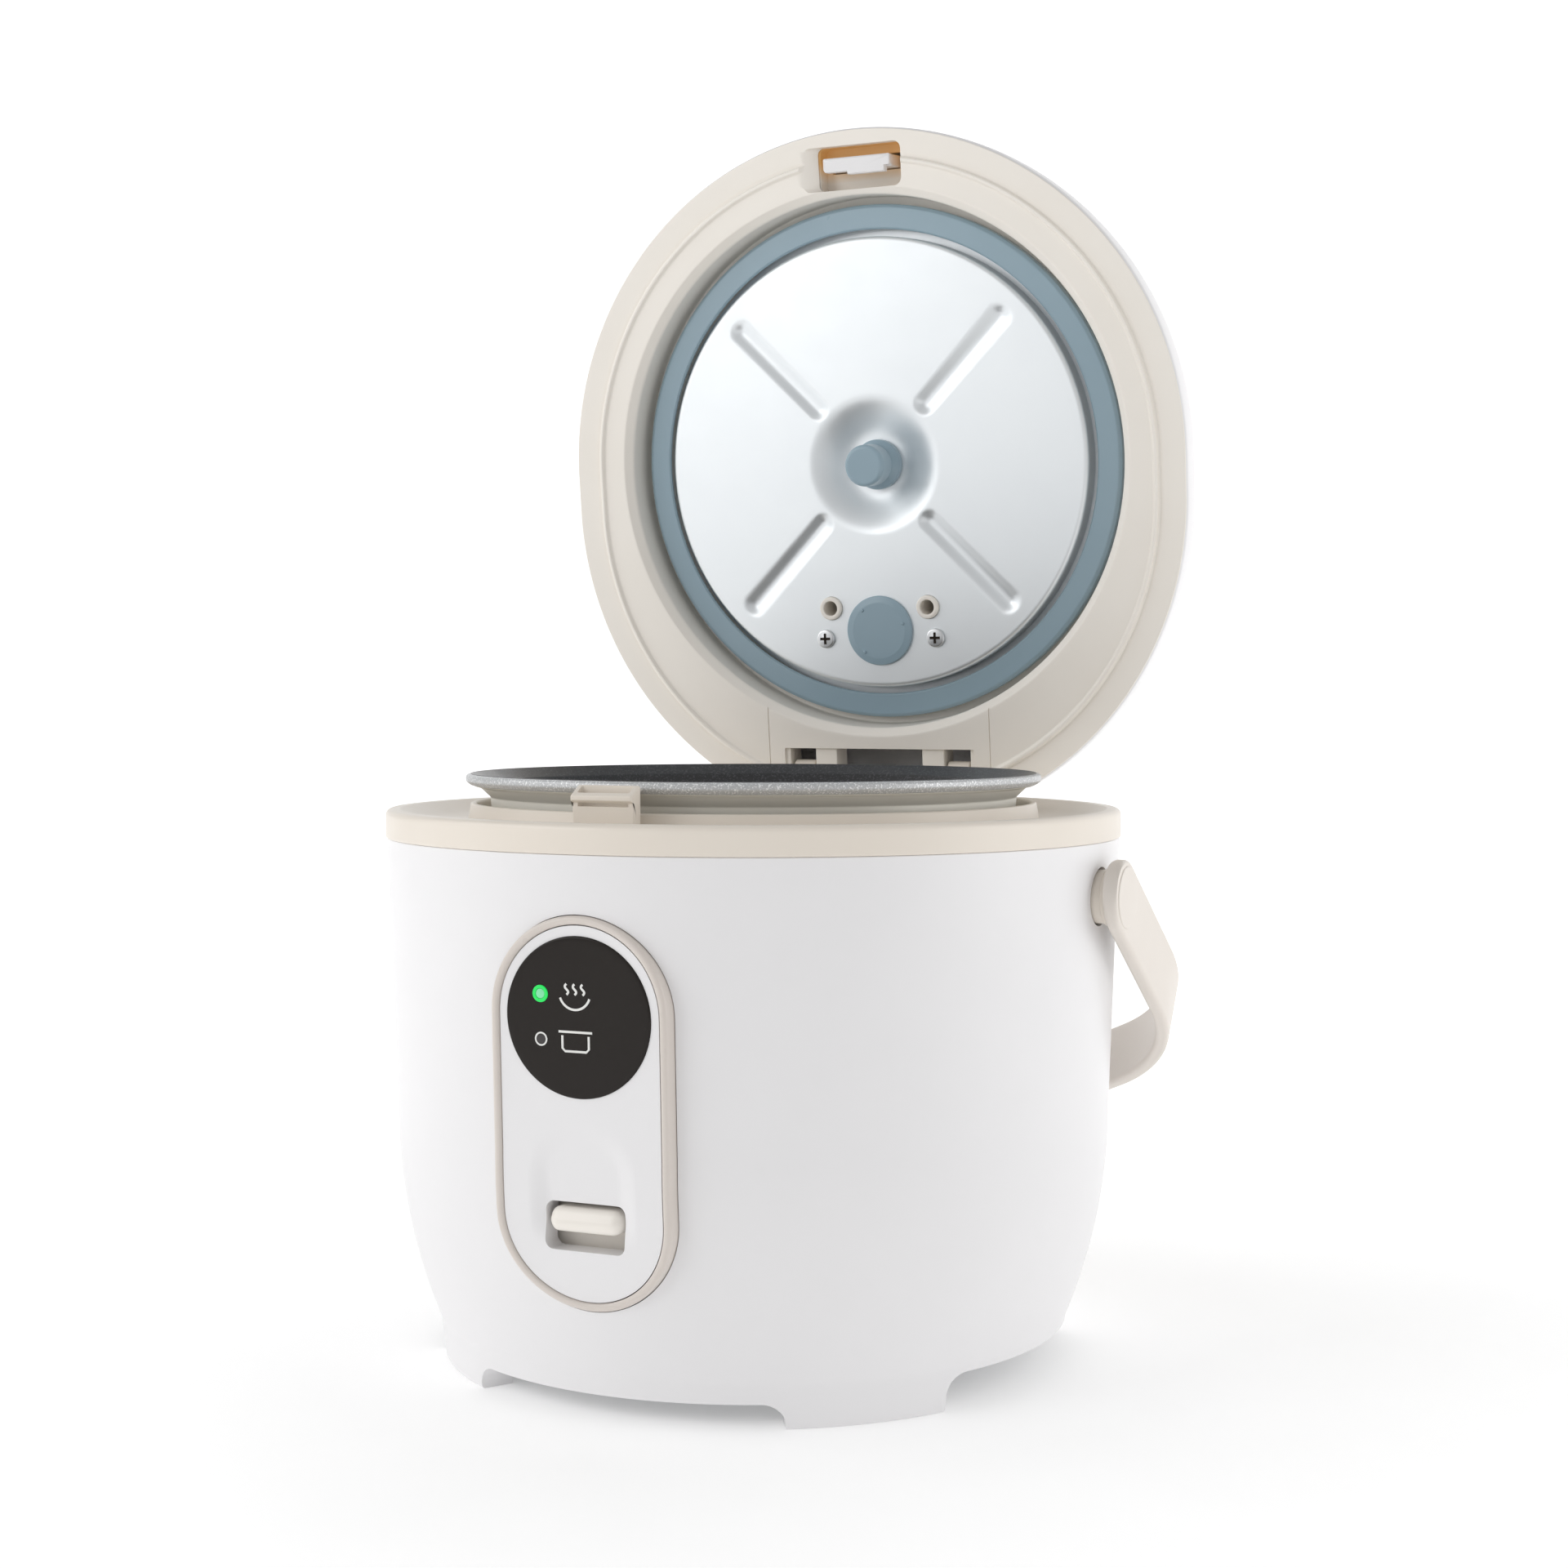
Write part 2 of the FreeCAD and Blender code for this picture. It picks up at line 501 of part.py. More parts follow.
paddle_front = "((waist_radius + belly_radius) / 2 + paddle_proud)"
paddle_back = f"({paddle_front} - paddle_long)"
piece("switch_paddle", padded("paddle", "YZ_Plane", [
    (f"-{paddle_back}", "paddle_low"),
    (f"1.2 - {paddle_front}", "paddle_low"),
    (f"2.2 - {paddle_front}", "paddle_high", f"-{paddle_front}", "paddle_low + 0.4 * (paddle_high - paddle_low)"),
    (f"-{paddle_back}", "paddle_high"),
], "2 * paddle_half"))
lever_top = "(lever_level + lever_thick)"
lever_shelf = "((paddle_low + paddle_high) / 2)"
lever_front = f"(0.1 - {paddle_back})"
lever_strip = padded("lever_strip", "YZ_Plane", [
    ("-lever_end", "lever_level"),
    ("-lever_end", lever_top),
    ("lever_thick - lever_bend", lever_top),
    (f"{lever_front} + 3 + lever_thick", f"{lever_shelf} + lever_thick"),
    (lever_front, f"{lever_shelf} + lever_thick"),
    (lever_front, lever_shelf),
    (f"{lever_front} + 3", lever_shelf),
    ("-lever_bend", "lever_level"),
], "lever_width")
lever_eye = rod("lever_eye_rod", "X", "lever_eye", "-lever_width / 2", "lever_width / 2",
                "-lever_pivot_y", "lever_pivot_z")
piece("switch_lever", cut(
    "lever_cut", fuse("lever_blank", lever_strip, lever_eye),
    rod("lever_bore", "X", "lever_pin_radius + hinge_fit", "-lever_width", "lever_width",
        "-lever_pivot_y", "lever_pivot_z")))
ear_in = "(lever_width / 2 + bracket_gap)"
ear_out = f"({ear_in} + bracket_thick)"
can_under = "(can_floor - 0.1)"
ears = [side_block(f"ear_{side + 1}", [
    ("-lever_pivot_y - bracket_half", can_under),
    ("-lever_pivot_y - bracket_half", "lever_pivot_z"),
    ("-lever_pivot_y + bracket_half", "lever_pivot_z", "-lever_pivot_y", "lever_pivot_z - bracket_half"),
    ("-lever_pivot_y + bracket_half", can_under),
], ear_in, ear_out, side) for side in (-1, 1)]
bracket_plate = box(
    "bracket_plate", ("-bracket_flange", "bracket_flange"),
    ("-lever_pivot_y - bracket_half", "-lever_pivot_y + bracket_half"), (f"{can_under} - bracket_thick", can_under))
piece("switch_bracket", cut(
    "bracket_cut", fuse("bracket_blank", bracket_plate, *ears),
    rod("bracket_bore", "X", "lever_pin_radius + 0.02", "-bracket_flange", "bracket_flange",
        "-lever_pivot_y", "lever_pivot_z")))
piece("lever_pin", group("lever_pin_group", rod(
    "lever_pin_rod", "X", "lever_pin_radius", f"-{ear_out} - 1", f"{ear_out} + 1",
    "-lever_pivot_y", "lever_pivot_z")))
piece("micro_switch", fuse(
    "micro_switch_fuse",
    box("micro_switch_box", ("-switch_half", "switch_half"), ("-switch_far", "-switch_near"),
        (f"{can_under} - switch_tall", can_under)),
    rod("micro_switch_button", "Z", "1.2", f"{can_under} - switch_tall - 2", f"{can_under} - switch_tall + 1",
        "0", "-(switch_near + switch_far) / 2")))

# Can, heating plate and thermostat

can_inner = "can_radius"
can_outer = "(can_radius + can_wall)"
can_bend = "5"
can_body = turned("can_body", [
    ("can_hole", "can_floor"),
    (f"{can_outer} - {can_bend}", "can_floor"),
    (can_outer, f"can_floor + {can_bend}", f"{can_outer} - {ROUND} * {can_bend}", f"can_floor + {ROUND} * {can_bend}"),
    (can_outer, f"{UNDER_BASIN} - 0.2 - can_wall"),
    (f"{can_outer} + can_flange", f"{UNDER_BASIN} - 0.2 - can_wall"),
    (f"{can_outer} + can_flange", f"{UNDER_BASIN} - 0.2"),
    (can_inner, f"{UNDER_BASIN} - 0.2"),
    (can_inner, f"can_floor + {can_bend}"),
    (f"{can_outer} - {can_bend}", "can_floor + can_wall",
     f"{can_inner} - {ROUND} * ({can_bend} - can_wall)",
     f"can_floor + can_wall + {ROUND} * ({can_bend} - can_wall)"),
    ("can_hole", "can_floor + can_wall"),
])
piece("heat_can", can_body)
heater_under = "(plate_top - heater_thick)"
heater_disc = turned("heater_disc", [
    ("heater_hole", heater_under),
    ("heater_radius - 2", heater_under),
    ("heater_radius", f"{heater_under} + 3"),
    ("heater_radius - 1", "plate_top - 1"),
    ("heater_radius - 4", "plate_top"),
    ("heater_hole + 1", "plate_top"),
    ("heater_hole", "plate_top - 1"),
])
heater_tube = doc.addObject("Part::Torus", "heater_tube")
bind(heater_tube, {"Radius1": "tube_circle", "Radius2": "tube_radius", "Placement.Base.z": f"{heater_under} + 0.5"})
piece("heating_plate", fuse("heater_fuse", heater_disc, heater_tube))
post = rod("post", "Z", "post_radius", "can_floor + can_wall + 0.1", f"{heater_under} - 0.1", "post_circle", "0")
piece("plate_posts", group("post_group", *turned_copies("post_copy", post, 30, 3)))

cap_top = "(plate_top + 0.1)"
cap_under = f"({cap_top} - cap_wall)"
piece("sensor_cap", turned("sensor_cap_body", [
    ("0", cap_under),
    ("cap_radius - cap_wall", cap_under),
    ("cap_radius - cap_wall", f"{cap_top} - cap_tall"),
    ("cap_radius", f"{cap_top} - cap_tall"),
    ("cap_radius", f"{cap_top} - 1"),
    ("cap_radius - 1", cap_top),
    ("0", cap_top),
]))
piece("sensor_magnet", group("magnet_group", rod(
    "magnet_rod", "Z", "magnet_radius", f"{cap_under} - 0.1 - magnet_thick", f"{cap_under} - 0.1", "0", "0")))
stem_top = f"({cap_top} - cap_tall + 3)"
piece("thermostat_body", turned("thermostat_turn", [
    ("stem_bore", "stem_foot"),
    ("stem_radius", "stem_foot"),
    ("stem_radius", f"{can_under} - 1.5"),
    ("stem_flange", f"{can_under} - 1.5"),
    ("stem_flange", can_under),
    ("stem_radius", can_under),
    ("stem_radius", stem_top),
    ("stem_bore", stem_top),
]))
plunger_low = f"({lever_top} + 0.3)"
piece("plunger", turned("plunger_turn", [
    ("0", plunger_low),
    ("collar_disc", plunger_low),
    ("collar_disc", f"{plunger_low} + collar_disc_thick"),
    ("rod_radius", f"{plunger_low} + collar_disc_thick"),
    ("rod_radius", "armature_low"),
    ("armature_radius", "armature_low"),
    ("armature_radius", "armature_low + armature_thick"),
    ("0", "armature_low + armature_thick"),
]))
piece("sensor_spring", coil(
    "sensor_coil", "Z", "(stem_radius + can_hole) / 2", "spring_wire", 4,
    f"{can_under} + spring_wire / 2 + 0.1", f"{cap_under} - spring_wire / 2 - 0.1", "0", "0"))
piece("plunger_spring", coil(
    "plunger_coil", "Z", "0.65 * armature_radius", "0.8 * spring_wire", 4,
    "armature_low + armature_thick + spring_wire / 2",
    f"{cap_under} - magnet_thick - 3", "0", "0"))
piece("thermal_fuse", group("fuse_group", rod(
    "fuse_rod", "X", "fuse_radius", "-fuse_long / 2", "fuse_long / 2", "fuse_y", f"{can_under} - fuse_radius")))

# Mains inlet at the back

inlet_back = f"({INLET_FACE} - inlet_deep)"
piece("power_inlet", cut(
    "inlet_cut",
    box("inlet_block", ("-inlet_half", "inlet_half"), (inlet_back, INLET_FACE),
        ("inlet_low", "inlet_low + inlet_tall")),
    box("inlet_hollow", ("inlet_wall - inlet_half", "inlet_half - inlet_wall"),
        (f"{INLET_FACE} - pin_long - 2", f"{INLET_FACE} + 1"),
        ("inlet_low + inlet_wall", "inlet_low + inlet_tall - inlet_wall"))))
inlet_pins = []
for number, (along, rise) in enumerate((("-pin_pitch", "-1.5"), ("0", "2"), ("pin_pitch", "-1.5"))):
    middle = f"(inlet_low + inlet_tall / 2 + ({rise}))"
    inlet_pins.append(box(
        f"inlet_pin_{number}", (f"{along} - pin_thick / 2", f"{along} + pin_thick / 2"),
        (f"{INLET_FACE} - pin_long - 1.95", f"{INLET_FACE} - 1.95"),
        (f"{middle} - pin_wide / 2", f"{middle} + pin_wide / 2")))
piece("inlet_pins", group("inlet_pin_group", *inlet_pins))

# Inner pot: drawn bowl with a flared rim that stands above the collar

pot_low = "(plate_top + pot_rest)"
pot_in = "(pot_radius - pot_wall)"
piece("inner_pot", turned("pot_body", [
    ("0", pot_low),
    ("pot_base_radius - pot_round", pot_low),
    ("pot_base_radius", f"{pot_low} + pot_round", f"pot_base_radius - {ROUND} * pot_round",
     f"{pot_low} + {ROUND} * pot_round"),
    ("pot_radius", "pot_neck"),
    ("pot_rim - 1.4", "pot_top - 2.6", f"pot_radius + 0.3 * (pot_rim - pot_radius)", "pot_top - 5"),
    ("pot_rim - 0.8", "pot_top", "pot_rim", "pot_top - 1.3"),
    ("pot_rim - 3", "pot_top"),
    (pot_in, "pot_neck", f"{pot_in} + 0.25 * (pot_rim - pot_radius)", "pot_top - 3.8"),
    ("pot_base_radius - pot_wall", f"{pot_low} + pot_round"),
    ("pot_base_radius - pot_round", f"{pot_low} + pot_wall",
     f"pot_base_radius - pot_wall - {ROUND} * (pot_round - pot_wall)",
     f"{pot_low} + pot_wall + {ROUND} * (pot_round - pot_wall)"),
    ("0", f"{pot_low} + pot_wall"),
]))

# Lid pieces are shaped closed and then swung open about the hinge


def on_lid(name, thing):
    """A finished lid piece, swung open with the lid."""
    return piece(name, swing(thing, "hinge_y", "hinge_z", "-lid_open"))


COVER = "(rim_radius - cover_gap)"
FRAME = f"({COVER} - cover_wall - frame_gap)"
DECK = f"({LID} + deck_height)"
DECK_TOP = f"({DECK} + frame_wall)"
RECESS = f"({LID} + recess_depth)"
FACE = f"({LID} - frame_face)"
LATCH_Z = f"({LID} + latch_height)"


def dome(depth):
    """The lid's domed profile, a depth under its outer face: edge, shoulder and crown."""
    rise = f"{LID} + "
    edge = (f"{COVER} - ({depth})", f"{LID} - cover_edge")
    side = (f"cover_side - ({depth})", rise + "cover_side_height")
    shoulder = (f"shoulder_radius - 0.8 * ({depth})", rise + f"shoulder_height - 0.75 * ({depth})")
    bulge = ("crown_radius", rise + f"crown_side - ({depth})")
    crown = ("0", rise + f"crown - ({depth})")
    return edge, side, shoulder, bulge, crown


def cover_skin(name):
    """The domed outer cover's wall."""
    edge, side, shoulder, bulge, crown = dome("0")
    edge_in, side_in, shoulder_in, bulge_in, crown_in = dome("cover_wall")
    return turned(name, [
        edge, (*shoulder, *side), (*crown, *bulge), crown_in, (*shoulder_in, *bulge_in), (*edge_in, *side_in)])


def cover_core(name):
    """The room under the domed cover."""
    edge, side, shoulder, bulge, crown = dome("cover_wall + 0.1")
    return turned(name, [("0", edge[1]), edge, (*shoulder, *side), (*crown, *bulge)])


def drawn_out(name, points, back):
    """A profile from axis to axis, turned, run straight back and turned again, then ended square at the back."""
    everywhere = ("-3 * rim_radius", "3 * rim_radius")
    tall = ("0", "3 * rim_radius")
    front = cut(name + "_front", turned(name + "_near", points), box(
        name + "_near_end", everywhere, ("0", "3 * rim_radius"), tall))
    far = turned(name + "_far", points)
    bind(far, {"Placement.Base.y": "lid_stretch"})
    rear = cut(name + "_rear", far, box(
        name + "_far_start", everywhere, ("-3 * rim_radius", "lid_stretch"), tall), box(
        name + "_far_end", everywhere, (back, "3 * rim_radius"), tall))
    other = [(f"-({here[0]})", here[1], *((f"-({after[2]})", after[3]) if len(after) == 4 else ()))
             for here, after in zip(points[-2:0:-1], points[:1:-1])]
    run = padded(name + "_run", "XZ_Plane", [*points[1:], *other], "lid_stretch", "-lid_stretch / 2")
    return fuse(name, front, run, rear)


edge, side, shoulder, bulge, crown = dome("0")
cover_block = drawn_out("cover_block", [
    ("0", edge[1]), edge, (*shoulder, *side), (*crown, *bulge)], "lid_back")
edge, side, shoulder, bulge, crown = dome("cover_wall")
cover_room = drawn_out("cover_room", [
    ("0", f"{edge[1]} - 1"), (edge[0], f"{edge[1]} - 1"), edge, (*shoulder, *side), (*crown, *bulge)],
    "lid_back - cover_wall")
notch_top = "(hinge_z + knuckle_radius + 0.6)"
notch_in = "(hinge_y - 2 * knuckle_radius)"
on_lid("lid_cover", cut(
    "cover_cut", cover_block, cover_room,
    box("cover_notch", ("-knuckle_out - 0.8", "knuckle_out + 0.8"), (notch_in, "1.5 * rim_radius"),
        (f"{LID} - 2 * cover_edge", notch_top)),
    box("button_way", ("-button_half - button_gap", "button_half + button_gap"),
        ("-1.2 * rim_radius", "-0.6 * rim_radius"),
        (f"{LID} + button_low - button_gap", f"{LID} + button_high + button_gap")),
    rod("vent_way", "Z", "vent_radius + 0.2", LID, f"{LID} + 2 * crown", "0", "vent_y")))
vent_top = f"({LID} + crown_side + 1)"
vent_foot = f"({vent_top} - vent_tall)"
on_lid("steam_vent", cut(
    "vent_cut", fuse("vent_blank", rod("vent_rod", "Z", "vent_radius", vent_foot, vent_top, "0", "vent_y"),
                     rod("vent_ring", "Z", "vent_radius + vent_flange", vent_foot, f"{vent_foot} + 1.5",
                         "0", "vent_y")),
    *[box(f"vent_slot_{number}", (f"{place} * vent_radius - 1.2", f"{place} * vent_radius + 1.2"),
          ("vent_y - 0.6 * vent_radius", "vent_y + 0.6 * vent_radius"), (f"{vent_foot} - 1", f"{vent_top} + 1"))
      for number, place in enumerate((-0.4, 0, 0.4))]))

frame_plate = drawn_out("frame_plate", [
    ("0", FACE),
    ("bead_radius - 0.9", FACE),
    ("bead_radius - 0.5", f"{FACE} - bead_tall + 0.4"),
    ("bead_radius - 0.2", f"{FACE} - bead_tall"),
    ("bead_radius + 0.2", f"{FACE} - bead_tall"),
    ("bead_radius + 0.5", f"{FACE} - bead_tall + 0.4"),
    ("bead_radius + 0.8", f"{FACE} + 1"),
    ("bead_radius + 1.3", f"{FACE} + 0.6"),
    (FRAME, f"{LID} - frame_edge"),
    (FRAME, f"{LID} - frame_edge + frame_wall"),
    ("0", f"{LID} - frame_edge + frame_wall"),
], "lid_back - cover_wall - frame_gap")
recess_wall = rod("recess_wall", "Z", "recess_radius + frame_wall", f"{FACE} + 0.5", RECESS, "0", "0")
recess_mouth = turned("recess_mouth", [
    ("0", f"{FACE} - 1"),
    ("face_inner", f"{FACE} - 1"),
    ("face_inner", FACE),
    ("recess_radius", f"{FACE} + face_inner - recess_radius",
     f"face_inner - 0.7071 * (face_inner - recess_radius)", f"{FACE} + {ROUND} * (face_inner - recess_radius)"),
    ("recess_radius", f"{RECESS} + 1"),
    ("0", f"{RECESS} + 1"),
])
deck_body = turned("deck_body", [
    ("recess_radius + frame_wall", RECESS),
    ("deck_radius", RECESS),
    ("deck_radius", DECK),
    ("0", DECK),
    ("0", DECK_TOP),
    ("deck_radius + frame_wall", DECK_TOP),
    ("deck_radius + frame_wall", f"{RECESS} + frame_wall"),
    ("recess_radius + frame_wall", f"{RECESS} + frame_wall"),
])
hinge_gap = box(
    "hinge_gap", ("-knuckle_out - 0.4", "knuckle_out + 0.4"), (notch_in, "1.5 * rim_radius"),
    (f"{LID} - 2 * cover_edge", notch_top))
pocket_way = box(
    "pocket_way", ("-pocket_half", "pocket_half"), ("-pocket_far", "-pocket_near"),
    (f"{LID} - 2 * cover_edge", f"{RECESS} - frame_wall"))
knuckles = []
tubes = []
tube_bores = []
latch_walls = []
for side in (-1, 1):
    for label, inner, outer in (("near", "knuckle_in", "lug_side - lug_wide / 2 - lug_gap"),
                                ("far", "lug_side + lug_wide / 2 + lug_gap", "knuckle_out")):
        knuckles.append(side_block(f"knuckle_{label}_{side + 1}", [
            (f"{notch_in} - 3", f"{FACE} + 0.8"),
            ("hinge_y", "hinge_z - knuckle_radius"),
            ("hinge_y", "hinge_z + knuckle_radius", "hinge_y + knuckle_radius", "hinge_z"),
            (f"{notch_in} - 3", "hinge_z + knuckle_radius"),
        ], inner, outer, side))
    tubes.append(rod(f"steam_tube_{side + 1}", "Z", "steam_radius", f"{LID} - steam_reach", f"{DECK} + 1",
                     f"{side} * steam_x", "steam_y"))
    tubes.append(rod(f"tack_boss_{side + 1}", "Z", "tack_boss", f"{LID} + plate_thick + 0.1", f"{DECK} + 1",
                     f"{side} * tack_x", "tack_y"))
    tube_bores.append(rod(f"steam_bore_{side + 1}", "Z", "steam_bore", f"{LID} - 5", f"{DECK_TOP} + 1",
                          f"{side} * steam_x", "steam_y"))
    tube_bores.append(rod(f"tack_bore_{side + 1}", "Z", "tack_shank + 0.05", f"{LID} - 5", f"{DECK_TOP} + 1",
                          f"{side} * tack_x", "tack_y"))
    latch_walls.append(side_block(f"latch_wall_{side + 1}", [
        ("-latch_y - 2 * latch_pin_radius", f"{FACE} + 0.5"),
        ("-recess_radius - 1", f"{FACE} + 0.5"),
        ("-recess_radius - 1", f"{RECESS} + 1"),
        ("-latch_y + 2 * latch_pin_radius", LATCH_Z),
        ("-latch_y - 2 * latch_pin_radius", LATCH_Z, "-latch_y", f"{LATCH_Z} + 2 * latch_pin_radius"),
    ], "pocket_half", "pocket_half + pocket_wall", side))
on_lid("lid_frame", cut(
    "frame_cut", fuse("frame_blank", cut(
        "frame_open", fuse("frame_body", frame_plate, recess_wall), recess_mouth, hinge_gap, pocket_way),
        *knuckles, *latch_walls),
    rod("frame_bore", "X", "hinge_pin_radius + hinge_fit", "-knuckle_out - 5", "knuckle_out + 5",
        "hinge_y", "hinge_z"),
    rod("latch_bore", "X", "latch_pin_radius + 0.02", "-2 * pocket_half", "2 * pocket_half",
        "-latch_y", LATCH_Z)))
on_lid("lid_deck", cut(
    "deck_cut", fuse("deck_blank", deck_body, *tubes), *tube_bores,
    rod("knob_way", "Z", "knob_stem + 0.15", f"{DECK} - 1", f"{DECK_TOP} + 1", "0", "0")))

# Inner plate with its dish and four pressed grooves, seal, knob, valve pad and screws

DISH = f"({LID} + dish_depth)"
plate_body = turned("plate_body", [
    ("knob_stem + 0.2", DISH),
    ("dish_radius - dish_slope", DISH),
    ("dish_radius", LID),
    ("plate_radius", LID),
    ("plate_radius", f"{RECESS} - 0.2 - plate_thick"),
    ("plate_radius + plate_flange", f"{RECESS} - 0.2 - plate_thick"),
    ("plate_radius + plate_flange", f"{RECESS} - 0.2"),
    ("plate_radius - plate_thick", f"{RECESS} - 0.2"),
    ("plate_radius - plate_thick", f"{LID} + plate_thick"),
    ("dish_radius + 0.5 * plate_thick", f"{LID} + plate_thick"),
    ("dish_radius - dish_slope + 0.5 * plate_thick", f"{DISH} + plate_thick"),
    ("knob_stem + 0.2", f"{DISH} + plate_thick"),
])


def groove(name, half, low, high):
    """One pressed groove, a bar with round ends out along X."""
    return padded(name, "XY_Plane", [
        ("groove_start", f"-{half}", f"groove_start - {half}", "0"),
        ("groove_end", f"-{half}"),
        ("groove_end", half, f"groove_end + {half}", "0"),
        ("groove_start", half),
    ], f"({high}) - ({low})", f"(({high}) + ({low})) / 2")


groove_backs = turned_copies("groove_back_copy", groove(
    "groove_back", "(groove_half + plate_thick)", f"{LID} + 0.5 * plate_thick",
    f"{LID} + groove_depth + plate_thick"), 45, 4)
groove_ways = turned_copies("groove_way_copy", groove(
    "groove_way", "groove_half", f"{LID} - 1", f"{LID} + groove_depth"), 45, 4)
plate_holes = [rod("pad_hole", "Z", "pad_stem + 0.2", f"{LID} - 1", f"{LID} + 2", "0", "pad_y")]
for side in (-1, 1):
    plate_holes.append(rod(f"steam_hole_{side + 1}", "Z", "steam_radius + 0.2", f"{LID} - 1", f"{LID} + 4",
                           f"{side} * steam_x", "steam_y"))
    plate_holes.append(rod(f"tack_hole_{side + 1}", "Z", "tack_shank + 0.15", f"{LID} - 1", f"{LID} + 4",
                           f"{side} * tack_x", "tack_y"))
on_lid("inner_plate", cut("plate_cut", fuse("plate_blank", plate_body, *groove_backs), *groove_ways, *plate_holes))
seal_in = "(plate_radius + seal_split)"
on_lid("lid_seal", turned("seal_body", [
    (seal_in, f"{LID} + 0.5"),
    (f"{seal_in} + 0.8", f"{LID} - 0.1"),
    ("seal_radius - 1", f"{LID} - 0.1"),
    ("seal_radius", f"{LID} + 0.7"),
    ("seal_radius", f"{RECESS} - 0.3 - plate_thick"),
    (seal_in, f"{RECESS} - 0.3 - plate_thick"),
]))
on_lid("centre_grommet", turned("knob_body", [
    ("0", f"{LID} - knob_reach"),
    ("knob_radius - 0.8", f"{LID} - knob_reach"),
    ("knob_radius", f"{LID} - knob_reach + 0.8"),
    ("knob_radius", f"{LID} - 1"),
    ("knob_radius - 0.6", f"{LID}"),
    ("knob_flange", f"{DISH} - 2.4"),
    ("knob_flange", f"{DISH} - 0.1"),
    ("knob_stem", f"{DISH} - 0.1"),
    ("knob_stem", f"{DECK_TOP} + 0.2"),
    ("knob_head", f"{DECK_TOP} + 0.2"),
    ("knob_stem - 0.5", f"{DECK_TOP} + 2.5"),
    ("0", f"{DECK_TOP} + 2.5"),
]))
on_lid("steam_pad", fuse(
    "pad_fuse", rod("pad_disc", "Z", "pad_radius", f"{LID} - 0.05 - pad_thick", f"{LID} - 0.05", "0", "pad_y"),
    rod("pad_rod", "Z", "pad_stem", f"{LID} - 0.5", f"{LID} + 4", "0", "pad_y")))
tacks = []
for side in (-1, 1):
    tacks.append(rod(f"tack_head_{side + 1}", "Z", "tack_head", f"{LID} - 1", f"{LID} - 0.05",
                     f"{side} * tack_x", "tack_y"))
    tacks.append(rod(f"tack_rod_{side + 1}", "Z", "tack_shank", f"{LID} - 0.5", f"{DECK} + 1",
                     f"{side} * tack_x", "tack_y"))
on_lid("plate_screws", fuse("tack_fuse", *tacks))
on_lid("hinge_spring", group("hinge_spring_group", coil(
    "hinge_coil", "X", "hinge_pin_radius + 0.2 + spring_wire / 2", "spring_wire", 6,
    "1.5 - knuckle_in", "knuckle_in - 1.5", "hinge_y", "hinge_z")))

# Latch: a hook on a pin in the lid, rocked by the release button

nose_tip = f"({catch_front} + catch_lip + nose_gap)"
nose_top = "(catch_lip_low - 0.3)"
hook_in = f"({nose_tip} + 0.8)"
hook_out = f"({hook_in} + latch_thick)"
hook_blade = padded("hook_blade", "YZ_Plane", [
    (f"-{nose_tip}", f"{nose_top} - 0.6 * nose_thick"),
    (f"-{nose_tip}", nose_top),
    (f"-{hook_in}", f"{nose_top} + 0.5"),
    (f"-{hook_in}", LATCH_Z),
    (f"-{hook_out}", LATCH_Z),
    (f"-{hook_out}", f"{nose_top} - nose_thick"),
    (f"-{hook_in}", f"{nose_top} - nose_thick"),
], "2 * latch_half")
hook_eye = rod("hook_eye", "X", "latch_eye", "-latch_half", "latch_half", "-latch_y", LATCH_Z)
arm_span = ("-0.6 * latch_half", "0.6 * latch_half")
hook_web = box("hook_web", arm_span, ("-latch_y - 1.2", "-latch_y + 1.2"),
               (LATCH_Z, f"{LID} + button_low + 4"))
hook_arm = common("hook_arm", cover_core("hook_room"), box(
    "hook_arm_box", arm_span, ("-rim_radius", "-latch_y + 1.2"),
    (f"{LID} + button_low + 1", f"{LID} + button_low + 4")))
button_skin = common("button_common", cover_skin("button_body"), box(
    "button_box", ("-button_half", "button_half"), ("-1.2 * rim_radius", "-0.6 * rim_radius"),
    (f"{LID} + button_low", f"{LID} + button_high")))
on_lid("latch_hook", cut(
    "hook_cut", fuse("hook_blank", hook_blade, hook_eye, hook_web, hook_arm),
    rod("hook_bore", "X", "latch_pin_radius + hinge_fit", "-2 * latch_half", "2 * latch_half",
        "-latch_y", LATCH_Z)))
on_lid("release_button", button_skin)
on_lid("latch_pin", group("latch_pin_group", rod(
    "latch_pin_rod", "X", "latch_pin_radius", "-pocket_half - pocket_wall", "pocket_half + pocket_wall",
    "-latch_y", LATCH_Z)))
on_lid("latch_spring", group("latch_spring_group", coil(
    "latch_coil", "X", "latch_pin_radius + 0.2 + 0.3 * spring_wire", "0.6 * spring_wire", 3,
    "latch_half + 0.6", "pocket_half - 0.6", "-latch_y", LATCH_Z)))

# Bail handle: a flat strap bent round the back, hung on two bosses

HANDLE_IN = "(handle_half - strap_thick)"


